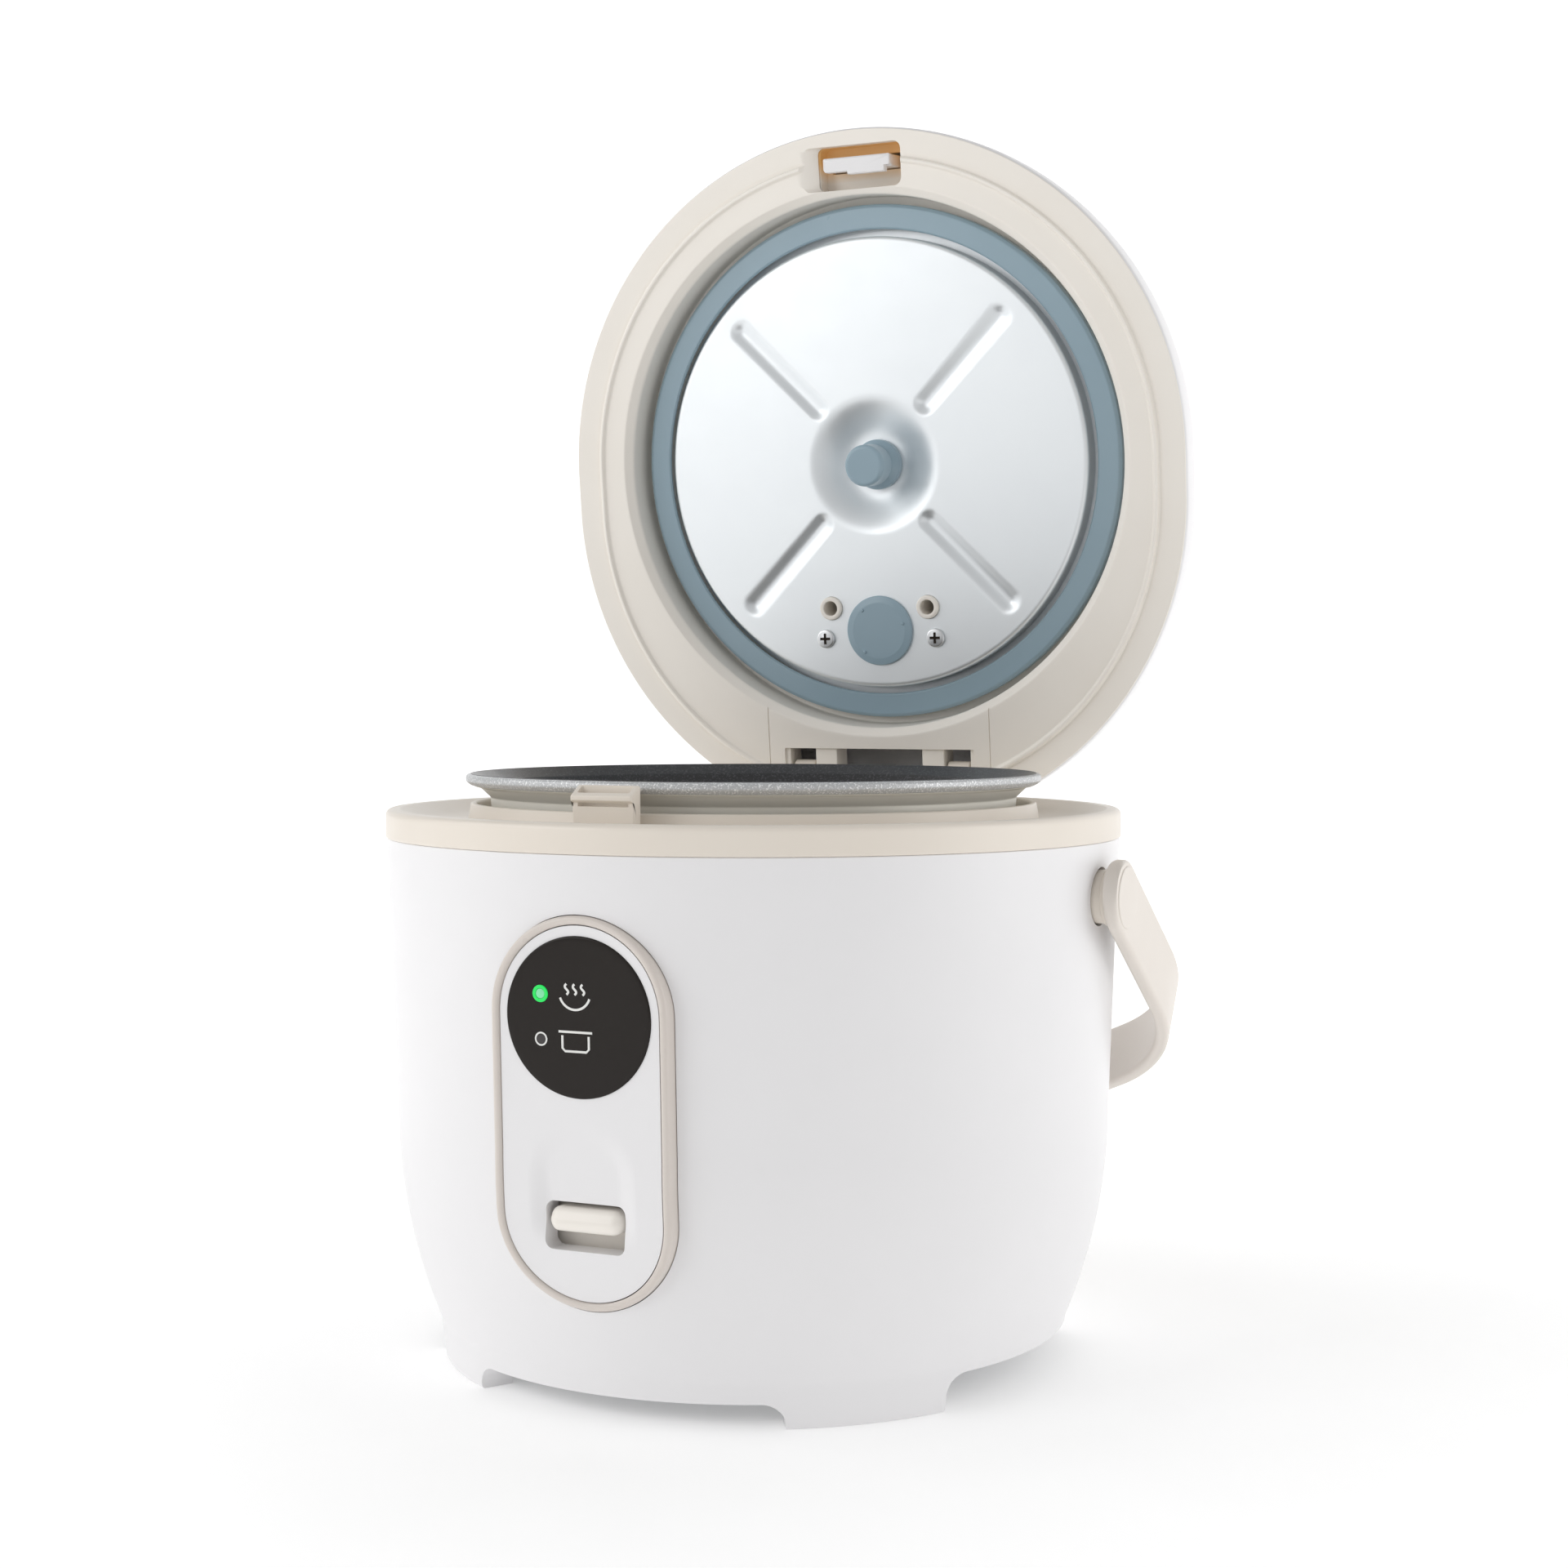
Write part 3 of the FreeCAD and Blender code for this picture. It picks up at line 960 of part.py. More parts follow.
def strap_half(inset):
    """Corner points of the strap's outline, inset from its outer face: arm end, corner arc and back arc."""
    reach = f"(strap_reach - ({inset}))"
    middle = "(strap_reach - strap_back)"
    spread = "(handle_half - strap_corner)"
    lean = f"({spread} / (strap_back - strap_corner))"
    rise = f"sqrt(1 - {lean} * {lean})"
    corner_y = f"({middle} + (strap_back - strap_corner) * {rise})"
    corner = f"(strap_corner - ({inset}))"
    back = f"(strap_back - ({inset}))"
    arm = f"(handle_half - ({inset}))"
    bend = (f"{back} * {lean}", f"{middle} + {back} * {rise}")
    bend_middle = (f"{spread} + {corner} * sqrt((1 + {lean}) / 2)", f"{corner_y} + {corner} * sqrt((1 - {lean}) / 2)")
    return arm, corner_y, bend, bend_middle, reach


out_arm, out_start, out_bend, out_middle, out_reach = strap_half("0")
in_arm, in_start, in_bend, in_middle, in_reach = strap_half("strap_thick")
strap = padded("strap", "XY_Plane", [
    (out_arm, "0"),
    (out_arm, out_start),
    (*out_bend, *out_middle),
    (f"-{out_bend[0]}", out_bend[1], "0", out_reach),
    (f"-{out_arm}", out_start, f"-({out_middle[0]})", out_middle[1]),
    (f"-{out_arm}", "0"),
    (f"-{in_arm}", "0"),
    (f"-{in_arm}", in_start),
    (f"-{in_bend[0]}", in_bend[1], f"-({in_middle[0]})", in_middle[1]),
    (*in_bend, "0", in_reach),
    (in_arm, in_start, *in_middle),
    (in_arm, "0"),
], "strap_width", "pivot_z")
eyes = []
eye_ways = []
for side in (-1, 1):
    inner, outer = ("-handle_half", f"-{HANDLE_IN}") if side < 0 else (HANDLE_IN, "handle_half")
    eyes.append(rod(f"eye_{side + 1}", "X", "eye_radius", inner, outer, "0", "pivot_z"))
    head_seat = "(handle_half - handle_cap_thick - bolt_head_thick - 0.3)"
    cap_seat = "(handle_half - handle_cap_thick)"
    for label, radius, low in (("head", "bolt_head + 0.3", head_seat), ("cap", "handle_cap + 0.1", cap_seat)):
        ends = (low, "handle_half + 1") if side > 0 else ("-handle_half - 1", f"-{low}")
        eye_ways.append(rod(f"{label}_way_{side + 1}", "X", radius, *ends, "0", "pivot_z"))
bolt_way = rod("bolt_way", "X", "bolt_radius + bolt_fit", "-1.2 * handle_half", "1.2 * handle_half", "0", "pivot_z")
piece("carry_handle", swing(cut(
    "handle_cut", fuse("handle_blank", strap, *eyes), bolt_way, *eye_ways), "0", "pivot_z", "-hang_angle"))
bolts = []
for side, name in ((-1, "left"), (1, "right")):
    def across(low, high):
        """Two distances from the middle, in order along X on this side."""
        return (low, high) if side > 0 else (f"-({high})", f"-({low})")
    boss_end = f"({HANDLE_IN} - eye_gap)"
    boss_root = f"({PIVOT_WALL} - shell_wall - 1)"
    piece("pivot_boss_" + name, cut(
        f"boss_cut_{name}",
        fuse(f"boss_blank_{name}",
             rod(f"boss_rod_{name}", "X", "boss_radius", *across(f"{boss_root} - 2", boss_end), "0", "pivot_z"),
             rod(f"boss_ring_{name}", "X", "boss_flange", *across(f"{boss_root} - 3", boss_root), "0", "pivot_z")),
        rod(f"boss_bore_{name}", "X", "bolt_radius + 0.02", *across(f"{boss_root} - 5", f"{boss_end} + 1"),
            "0", "pivot_z")))
    head_low = f"({head_seat} + 0.1)"
    bolts.append(rod(f"bolt_rod_{name}", "X", "bolt_radius", *across(f"{boss_root} - 3", f"{head_low} + 0.5"),
                     "0", "pivot_z"))
    bolts.append(rod(f"bolt_head_{name}", "X", "bolt_head", *across(head_low, f"{head_low} + bolt_head_thick"),
                     "0", "pivot_z"))
    piece("pivot_cap_" + name, group(f"cap_group_{name}", rod(
        f"cap_rod_{name}", "X", "handle_cap", *across(f"{cap_seat} + 0.05", "handle_half + 0.1"),
        "0", "pivot_z")))
piece("pivot_screws", fuse("bolt_fuse", *bolts))

# Check every object, then write each sub-part

doc.recompute()
for thing in doc.Objects:
    if {"Invalid", "Error"} & set(thing.State):
        raise RuntimeError(f"{thing.Name} failed: {thing.State}")
for name, thing in parts.items():
    if thing.Shape.isNull() or not thing.Shape.isValid():
        raise RuntimeError(f"{name} has no valid shape")
os.makedirs("parts", exist_ok=True)
for name, thing in parts.items():
    thing.Shape.exportStep(f"parts/{name}.step")
print(len(parts), "sub-parts written")
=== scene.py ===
import bmesh
import bpy
import numpy as np
from mathutils import Matrix


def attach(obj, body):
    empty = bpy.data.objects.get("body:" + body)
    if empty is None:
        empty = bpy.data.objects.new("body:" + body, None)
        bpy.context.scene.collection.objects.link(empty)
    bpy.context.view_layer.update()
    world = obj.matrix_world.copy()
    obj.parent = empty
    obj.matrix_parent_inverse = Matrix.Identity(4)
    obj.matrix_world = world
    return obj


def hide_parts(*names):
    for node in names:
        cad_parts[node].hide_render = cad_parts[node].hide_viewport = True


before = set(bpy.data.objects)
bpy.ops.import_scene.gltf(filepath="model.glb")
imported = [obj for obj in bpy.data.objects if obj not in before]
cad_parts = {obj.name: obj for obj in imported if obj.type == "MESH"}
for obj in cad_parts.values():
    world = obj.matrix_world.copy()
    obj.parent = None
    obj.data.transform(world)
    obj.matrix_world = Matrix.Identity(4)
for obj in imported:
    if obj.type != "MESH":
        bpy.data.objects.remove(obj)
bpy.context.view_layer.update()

# Outer shell
# A white moulded wall that draws in to a skirt, with low arches between its four feet.
# ABS from a polished mould; the panel, the two handle bosses and the mains inlet pass through it.

MM = 0.001
TURN = 2 * np.pi
WELD = 0.002
CREASE = np.radians(38)
SEAM = 140.5
SHELL_TOP = 99.6
SHELL_WALL = 2.2
WAIST = (97.0, 68.0)
BELLY = (93.4, 35.0)
SKIRT = (85.8, 11.0)
FOOT_OUT = 84.6
FOOT_IN = 75.6
LEDGE = 12.5
ARCH_HALF = 43.0
ARCH_ROUND = 5.5
FRONT_ARCH = 6.5
SIDE_ARCH = 9.5
PIVOT_Z = 126.5
BOSS_HOLE = 7.7
INLET_HOLE = (-14.2, 14.2, 22.8, 43.2)


def linear(code):
    """sRGB hex to linear RGBA: c / 12.92 up to 0.04045, else ((c + 0.055) / 1.055) ** 2.4."""
    srgb = np.array([int(code[place:place + 2], 16) for place in (1, 3, 5)]) / 255
    rgb = np.where(srgb <= 0.04045, srgb / 12.92, ((srgb + 0.055) / 1.055) ** 2.4)
    return (*rgb, 1.0)


def add(tree, kind, inputs, **settings):
    """Adds one node; each input takes a value or a link from another node's output."""
    node = tree.nodes.new(kind)
    for name, setting in settings.items():
        setattr(node, name, setting)
    for name, setting in inputs.items():
        if isinstance(setting, bpy.types.NodeSocket):
            tree.links.new(setting, node.inputs[name])
        else:
            node.inputs[name].default_value = setting
    return node


def moulded(name, colour, shade, gloss, grain, relief):
    """Moulded plastic: its colour drifts over 30 mm, its gloss over 8 mm, and its skin has a grain and a
    relief given in mm. A real skin is too fine to show, so its grain is drawn coarser."""
    material = bpy.data.materials.new(name)
    material.use_nodes = True
    tree = material.node_tree
    shader = tree.nodes["Principled BSDF"]
    place = add(tree, "ShaderNodeTexCoord", {}).outputs["Object"]
    drift = add(tree, "ShaderNodeTexNoise", {"Vector": place, "Scale": 1 / (30 * MM), "Detail": 3.0})
    tint = add(tree, "ShaderNodeMix", {0: drift.outputs["Fac"], 6: linear(colour), 7: linear(shade)},
               data_type="RGBA")
    patches = add(tree, "ShaderNodeTexNoise", {"Vector": place, "Scale": 1 / (8 * MM), "Detail": 2.0})
    sheen = add(tree, "ShaderNodeMapRange", {
        "Value": patches.outputs["Fac"], "To Min": gloss - 0.05, "To Max": gloss + 0.05})
    skin = add(tree, "ShaderNodeTexNoise", {"Vector": place, "Scale": 1 / (grain * MM), "Detail": 2.0})
    bump = add(tree, "ShaderNodeBump", {
        "Height": skin.outputs["Fac"], "Distance": relief * MM, "Strength": 0.5})
    tree.links.new(tint.outputs[2], shader.inputs["Base Color"])
    tree.links.new(sheen.outputs["Result"], shader.inputs["Roughness"])
    tree.links.new(bump.outputs["Normal"], shader.inputs["Normal"])
    shader.inputs["IOR"].default_value = 1.5
    return material


def piece(name, material, *sheets):
    """A mesh from grids of points in mm: neighbours make quads, doubles merge and faces turn outwards."""
    corners, quads, start = [], [], 0
    for grid, around, along in sheets:
        rows, columns = grid.shape[:2]
        row, column = np.meshgrid(np.arange(rows if around else rows - 1),
                                  np.arange(columns if along else columns - 1), indexing="ij")
        below, beside = (row + 1) % rows, (column + 1) % columns
        loop = [row * columns + column, below * columns + column,
                below * columns + beside, row * columns + beside]
        quads.append(np.stack(loop, -1).reshape(-1, 4) + start)
        corners.append(grid.reshape(-1, 3) * MM)
        start += rows * columns
    mesh = bpy.data.meshes.new(name)
    mesh.from_pydata(np.concatenate(corners), [], np.concatenate(quads))
    work = bmesh.new()
    work.from_mesh(mesh)
    bmesh.ops.remove_doubles(work, verts=work.verts, dist=WELD * MM)
    bmesh.ops.dissolve_degenerate(work, edges=work.edges, dist=WELD * MM)
    loose = [edge for edge in work.edges if not edge.link_faces]
    bmesh.ops.delete(work, geom=loose, context="EDGES")
    bmesh.ops.recalc_face_normals(work, faces=work.faces)
    work.to_mesh(mesh)
    work.free()
    mesh.shade_smooth()
    mesh.set_sharp_from_angle(angle=CREASE)
    thing = bpy.data.objects.new(name, mesh)
    bpy.context.collection.objects.link(thing)
    if material:
        mesh.materials.append(material)
    return thing


def cut(target, *sheets):
    """Takes closed shapes out of a piece."""
    for sheet in sheets:
        tool = piece("tool", None, sheet)
        opening = target.modifiers.new("opening", "BOOLEAN")
        opening.operation = "DIFFERENCE"
        opening.solver = "EXACT"
        opening.object = tool
        graph = bpy.context.evaluated_depsgraph_get()
        mesh = bpy.data.meshes.new_from_object(target.evaluated_get(graph))
        target.modifiers.clear()
        target.data = mesh
        bpy.data.objects.remove(tool)
        mesh.set_sharp_from_angle(angle=CREASE)


def arc(start, through, end, count):
    """Points on the circle through three points; its centre c solves 2 (b - a) . c = b . b - a . a for two
    pairs of them."""
    start, through, end = (np.array(point, float) for point in (start, through, end))
    sides = 2 * np.array([through - start, end - start])
    centre = np.linalg.solve(sides, [through @ through - start @ start, end @ end - start @ start])
    angle = [np.arctan2(*(point - centre)[::-1]) for point in (start, through, end)]
    middle = angle[0] + (angle[1] - angle[0] + np.pi) % TURN - np.pi
    last = middle + (angle[2] - middle + np.pi) % TURN - np.pi
    sweep = np.linspace(angle[0], last, count)
    return centre + np.hypot(*(start - centre)) * np.stack([np.cos(sweep), np.sin(sweep)], -1)


WALL_ARC = arc(SKIRT, BELLY, WAIST, 60)
WALL_LINE = np.vstack([[(FOOT_OUT, 0.0)], WALL_ARC, [(SHELL_TOP, SEAM)]])


def wall(height):
    """Outer radius of the shell at a height: foot, curved skirt, then straight up to the seam."""
    return np.interp(height, WALL_LINE[:, 1], WALL_LINE[:, 0])


def corner_arc(centre, radius, first, last, count=6):
    """Points of a small arc between two angles in degrees."""
    angle = np.radians(np.linspace(first, last, count))
    return np.array(centre) + radius * np.stack([np.cos(angle), np.sin(angle)], -1)


def shell_sheet():
    """The wall's closed outline turned about Z; where an arch opens, points lower than the arch rise to it:
    z = max(z, h) for |x| < a - r, z = max(z, h - r + sqrt(r^2 - (|x| - a + r)^2)) in its round corner."""
    rise = np.concatenate([np.linspace(0.8, SKIRT[1], 10), WALL_ARC[1:, 1],
                           np.linspace(WAIST[1], SEAM - 0.35, 14)[1:]])
    fall = np.concatenate([np.linspace(SEAM - 0.3, WAIST[1], 8), np.linspace(WAIST[1] - 2, LEDGE, 16)])
    outline = np.vstack([
        np.stack([wall(rise), rise], -1),
        corner_arc((SHELL_TOP - 0.35, SEAM - 0.35), 0.35, 0, 90),
        np.stack([wall(fall) - SHELL_WALL, fall], -1),
        [(FOOT_IN, LEDGE), (FOOT_IN, 8.0), (FOOT_IN, 4.0)],
        corner_arc((FOOT_IN + 0.6, 0.6), 0.6, 180, 270),
        corner_arc((FOOT_OUT - 0.8, 0.8), 0.8, 270, 360),
    ])
    steps = np.array([0.0002, 0.05, 0.2, 0.6, 1.2, 2.2, 3.6, 5.5, 8.0])
    edge = np.arcsin((ARCH_HALF - np.concatenate([-steps[:4], steps])) / FOOT_OUT)
    edge = np.concatenate([edge, -edge])
    turns = np.concatenate([edge + quarter * TURN / 4 for quarter in range(4)])
    angle = np.unique(np.concatenate([turns, np.linspace(0, TURN, 240, endpoint=False)]) % TURN)
    front = np.abs(np.cos(angle)) < np.abs(np.sin(angle))
    across = FOOT_OUT * np.minimum(np.abs(np.cos(angle)), np.abs(np.sin(angle)))
    height = np.where(front, FRONT_ARCH, SIDE_ARCH)
    into = np.clip(across - ARCH_HALF + ARCH_ROUND, 0, ARCH_ROUND)
    lift = np.where(across < ARCH_HALF, height - ARCH_ROUND + np.sqrt(ARCH_ROUND ** 2 - into ** 2), 0)
    radius, level = outline.T
    level = np.maximum(level[None], lift[:, None])
    grid = np.stack([np.cos(angle)[:, None] * radius, np.sin(angle)[:, None] * radius, level], -1)
    return grid, True, True


PANEL_HALF = 24.1
PANEL_MID = 77.5
PANEL_RUN = 24.4


def stadium(inset):
    """The panel's outline (x, z): two half circles about (0, mid +- run) with straight sides between them."""
    half = np.linspace(0, np.pi, 56)
    side = np.linspace(-PANEL_RUN, PANEL_RUN, 30)[1:-1]
    angle = np.concatenate([0 * side, half, 0 * side + np.pi, half + np.pi])
    spine = np.concatenate([side, 0 * half + PANEL_RUN, side[::-1], 0 * half - PANEL_RUN])
    reach = PANEL_HALF - inset
    return np.stack([reach * np.cos(angle), PANEL_MID + spine + reach * np.sin(angle)], -1)


def prism(flat, low, high, axis):
    """A flat outline carried between two places along an axis and closed at both ends."""
    middle = flat * 0 + flat.mean(0)
    rows = [(middle, low), (flat, low), (flat, high), (middle, high)]
    return np.stack([np.insert(points, axis, place, axis=1) for points, place in rows], 1), True, False


def circle(radius, first=0.0, second=0.0, count=72):
    """Points of a circle in a plane."""
    angle = np.linspace(0, TURN, count, endpoint=False)
    return np.stack([first + radius * np.cos(angle), second + radius * np.sin(angle)], -1)


def oblong(left, right, low, high, radius, count=9):
    """A rectangle with round corners."""
    centres = [(right - radius, high - radius), (left + radius, high - radius),
               (left + radius, low + radius), (right - radius, low + radius)]
    return np.vstack([corner_arc(centre, radius, 90 * number, 90 * number + 90, count)
                      for number, centre in enumerate(centres)])


# White ABS from a polished mould: an even colour with soft, broad highlights.
white_plastic = moulded("white_abs", "#EFEEEF", "#EBEAEB", 0.34, 0.5, 0.004)
shell = piece("shell_moulding", white_plastic, shell_sheet())
cut(shell,
    prism(stadium(-0.2), -130, -60, 1),
    prism(circle(BOSS_HOLE, 0, PIVOT_Z), -130, -80, 0),
    prism(circle(BOSS_HOLE, 0, PIVOT_Z), 80, 130, 0),
    prism(oblong(*INLET_HOLE, 1.0), 60, 130, 1))
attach(shell, "body")
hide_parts("outer_shell")

# Top ring
# Cream moulding on the shell: rounded lip, drip basin, collar round the pot, the catch and two hinge lugs.
# Turned profile with the catch and lugs set into it; the lid's hook takes hold under the catch's lip.


def rounded(corners, steps=5):
    """A closed outline whose corners (x, y, radius) become arcs that touch both sides; each arc's centre lies
    radius / sin(half angle) along the bisector. Sides get points near their ends to keep them flat."""
    corners = np.array(corners, float)
    spots = corners[:, :2]
    back, ahead = np.roll(spots, 1, 0) - spots, np.roll(spots, -1, 0) - spots
    back_long, ahead_long = np.hypot(*back.T)[:, None], np.hypot(*ahead.T)[:, None]
    back, ahead = back / back_long, ahead / ahead_long
    half = np.arccos(np.clip((back * ahead).sum(1), -0.99999, 0.99999))[:, None] / 2
    reach = np.minimum(corners[:, 2:] / np.tan(half), 0.46 * np.minimum(back_long, ahead_long))
    bisector = (back + ahead) / np.hypot(*(back + ahead).T)[:, None]
    centre = spots + bisector * reach / np.cos(half)
    first, last = spots + back * reach - centre, spots + ahead * reach - centre
    sweep = (np.pi - 2 * half)[:, :, None]
    part = np.linspace(0, 1, steps + 1)[None, :, None]
    leaving, arriving = np.sin((1 - part) * sweep) * first[:, None], np.sin(part * sweep) * last[:, None]
    arcs = centre[:, None] + (leaving + arriving) / np.sin(sweep)
    start, finish = arcs[:, -1:], np.roll(arcs[:, :1], -1, 0)
    share = np.array([0.06, 0.5, 0.94])[None, :, None]
    return np.concatenate([arcs, start + (finish - start) * share], 1).reshape(-1, 2)


def turned(outline, count=240, x=0.0, y=0.0):
    """A closed outline of (radius, height) turned about an upright axis."""
    angle = np.linspace(0, TURN, count, endpoint=False)[:, None]
    radius, height = outline.T
    grid = np.stack([x + radius * np.cos(angle), y + radius * np.sin(angle), height + 0 * angle], -1)
    return grid, True, True


def bar(section, half, ease, middle=0.0, steps=6):
    """A section (y, z) carried along X; over the last part of each end it draws in towards its middle by
    ease (1 - cos a) while x grows by ease sin a, which rounds the end over."""
    angle = np.linspace(0, np.pi / 2, steps + 1)
    inset, place = ease * (1 - np.cos(angle)), half - ease + ease * np.sin(angle)
    inset = np.concatenate([inset[::-1], inset])
    place = np.concatenate([-place[::-1], place])
    centre = (section.min(0) + section.max(0)) / 2
    size = (section.max(0) - section.min(0)) / 2
    shrink = np.maximum(1 - inset[:, None] / size, 0.02)
    rows = centre + (section - centre) * shrink[:, None, :]
    ends = np.broadcast_to(centre, rows[:1].shape)
    rows = np.concatenate([ends, rows, ends])
    place = np.concatenate([[-half], place, [half]])[:, None] + middle
    return np.stack([place + 0 * rows[..., 0], rows[..., 0], rows[..., 1]], -1), False, True


RIM = 100.0
RIM_TOP = 148.0
RING_OUTLINE = rounded([
    (RIM, 140.56, 0.25), (RIM, RIM_TOP, 1.5), (96.2, RIM_TOP, 1.3), (88.6, 144.1, 14.0), (78.3, 143.5, 0.8),
    (77.2, 149.5, 0.6), (75.6, 149.5, 0.6), (75.6, 137.5, 0.2), (77.2, 137.5, 0.2), (77.3, 141.5, 0.4),
    (95.0, 141.5, 0.4), (95.1, 136.3, 0.2), (97.1, 136.3, 0.2), (97.2, 140.56, 0.2)], 6)
CATCH = rounded([(-82.3, 142.5, 0.2), (-86, 142.5, 0.2), (-86, 152.4, 0.4), (-87.3, 152.9, 0.4),
                 (-87.3, 154.1, 0.5), (-82.3, 157, 0.6)])
HINGE_Y = 95.0
HINGE_Z = 154.1
LUG = rounded([(86.8, 143, 0.2), (95.4, 143, 0.2), (99.2, 154.1, 4.0), (98.6, 158.2, 4.0), (91.4, 158.3, 4.0),
               (90.8, 154.1, 4.0)])
LUG_X = 25.6
# Cream ABS, moulded a little duller than the white: warm, with a soft sheen.
cream_plastic = moulded("cream_abs", "#EBE3D8", "#E6DDD1", 0.36, 0.5, 0.004)
catch = piece("catch_tab", cream_plastic, bar(CATCH, 8.5, 0.5))
cut(catch, prism(oblong(-7.2, 7.2, -86.1, -83.3, 0.5), 151.4, 160, 2))
ring = piece("rim_moulding", cream_plastic, turned(RING_OUTLINE),
             bar(LUG, 3.5, 0.4, -LUG_X), bar(LUG, 3.5, 0.4, LUG_X))
for moulding in (ring, catch):
    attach(moulding, "body")
    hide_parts("top_ring")

# Control panel
# Cream trim round a white insert with a thumb scoop over the lever's slot.
# Both follow the wall's upright curve and lie flat across it: y = -(wall(z) + proud).


def on_wall(flat, proud):
    """Points (x, z) laid on the front wall and stood proud of it."""
    return np.stack([flat[..., 0], -(wall(flat[..., 1]) + proud), flat[..., 1]], -1)


TRIM_WIDE = 2.2
TRIM_PROUD = 1.0
TRIM_DEEP = 3.8
INSERT_INSET = 2.4
INSERT_PROUD = 0.3
SLOT_MID = 50.1
SLOT_OUTLINE = oblong(-10.9, 10.9, 44.2, 56.0, 2.2)
SCOOP_HALF = 15.0
SCOOP_TOP = 77.0
SCOOP_DEPTH = 1.9
SCOOP_EASE = 6.0
SCOOP_LOW = 53.0
SCOOP_END = 45.0
SCOOP_FADE = 8.0


def smooth(share):
    """3 s^2 - 2 s^3 between 0 and 1."""
    share = np.clip(share, 0, 1)
    return share * share * (3 - 2 * share)


def trim_sheet():
    """A half-round section carried round the stadium."""
    section = rounded([(0, -TRIM_DEEP, 0), (0, TRIM_PROUD, 1.05), (TRIM_WIDE, TRIM_PROUD, 1.05),
                       (TRIM_WIDE, -TRIM_DEEP, 0)], 8)
    path = np.stack([stadium(inset) for inset in section[:, 0]], 1)
    return on_wall(path, section[:, 1]), True, True


def insert_sheet():
    """Rays from the slot's middle run from the slot's edge to the trim; the scoop sinks the face by
    depth (top - z) / (top - low) inside an arch, eased at its sides and faded out beside the slot."""
    angle = np.linspace(0, TURN, 420, endpoint=False)

    def reach(outline):
        """Distance from the slot's middle to an outline along each ray."""
        edge = np.vstack([outline, outline[:1]])
        mile = np.concatenate([[0], np.cumsum(np.hypot(*np.diff(edge, axis=0).T))])
        spots = np.linspace(0, mile[-1], 1200, endpoint=False)
        right, up = np.interp(spots, mile, edge[:, 0]), np.interp(spots, mile, edge[:, 1]) - SLOT_MID
        bearing = np.arctan2(up, right) % TURN
        order = np.argsort(bearing)
        return np.interp(angle, bearing[order], np.hypot(right, up)[order], period=TURN)

    near, far = reach(SLOT_OUTLINE), reach(stadium(INSERT_INSET))
    share = np.concatenate([[0, 0], np.linspace(0, 1, 64) ** 1.4, [1, 1]])
    drop = np.concatenate([[6.0, 0.5], [0.15], np.zeros(63), [0.3, TRIM_DEEP]])
    away = near[:, None] + (far - near)[:, None] * share
    flat = np.stack([away * np.cos(angle)[:, None], SLOT_MID + away * np.sin(angle)[:, None]], -1)
    x, z = flat[..., 0], flat[..., 1]
    arch_mid = SCOOP_TOP - SCOOP_HALF
    inside = SCOOP_HALF - np.hypot(x, np.maximum(z - arch_mid, 0))
    deep = np.clip((SCOOP_TOP - z) / (SCOOP_TOP - SCOOP_LOW), 0, 1) * smooth((z - SCOOP_END) / SCOOP_FADE)
    scoop = SCOOP_DEPTH * deep * smooth(inside / SCOOP_EASE)
    return on_wall(flat, INSERT_PROUD - scoop - drop), True, True


# Polished ABS with a champagne tint: a thin, slightly brighter line round the panel.
champagne = moulded("champagne_abs", "#DCD4CD", "#D5CCC4", 0.3, 0.5, 0.004)
trim = piece("panel_surround", champagne, trim_sheet())
insert = piece("panel_insert", white_plastic, insert_sheet())
panel_parts = [(trim, "panel_trim", "cream_plastic"), (insert, "control_panel", "white_plastic")]
for moulding, node, finish in panel_parts:
    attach(moulding, "body")
    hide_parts(node)

# Lamp disc
# Glossy black disc with two lamps, a lit green one above a dark one, and a printed mark beside each.
# Set into the insert; the marks are plain pictograms, steam over a bowl and a pot.

DISC_MID = 101.4


def on_panel(outline, x, z, count=96):
    """An outline of (radius, proud) turned about a line straight out of the panel."""
    angle = np.linspace(0, TURN, count, endpoint=False)[:, None]
    radius, proud = outline.T
    flat = np.stack([x + radius * np.cos(angle), z + radius * np.sin(angle)], -1)
    return on_wall(flat, proud), True, True


# Black acrylic: deep and smooth, with one faint, blurred reflection.
black_gloss = moulded("black_acrylic", "#2A2623", "#262220", 0.22, 2.0, 0.002)
black_gloss.node_tree.nodes["Principled BSDF"].inputs["Specular IOR Level"].default_value = 0.18
DISC_OUTLINE = rounded([(0, -2.2, 0), (19.7, -2.2, 0.2), (19.7, 0.75, 0.5), (0, 0.65, 0)])
disc = piece("lamp_disc", black_gloss, on_panel(DISC_OUTLINE, 0, DISC_MID, 160))
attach(disc, "body")
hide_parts("indicator_disc")


def lens(name, colour, glow, strength):
    """Tinted acrylic over a lamp: the glow thins out in patches of 1 mm."""
    material = moulded(name, colour, colour, 0.2, 1.0, 0.002)
    tree = material.node_tree
    shader = tree.nodes["Principled BSDF"]
    place = add(tree, "ShaderNodeTexCoord", {}).outputs["Object"]
    patches = add(tree, "ShaderNodeTexNoise", {"Vector": place, "Scale": 1 / (1.0 * MM)})
    power = add(tree, "ShaderNodeMapRange", {
        "Value": patches.outputs["Fac"], "To Min": 0.8 * strength, "To Max": 1.2 * strength})
    shader.inputs["Emission Color"].default_value = linear(glow)
    tree.links.new(power.outputs["Result"], shader.inputs["Emission Strength"])
    return material


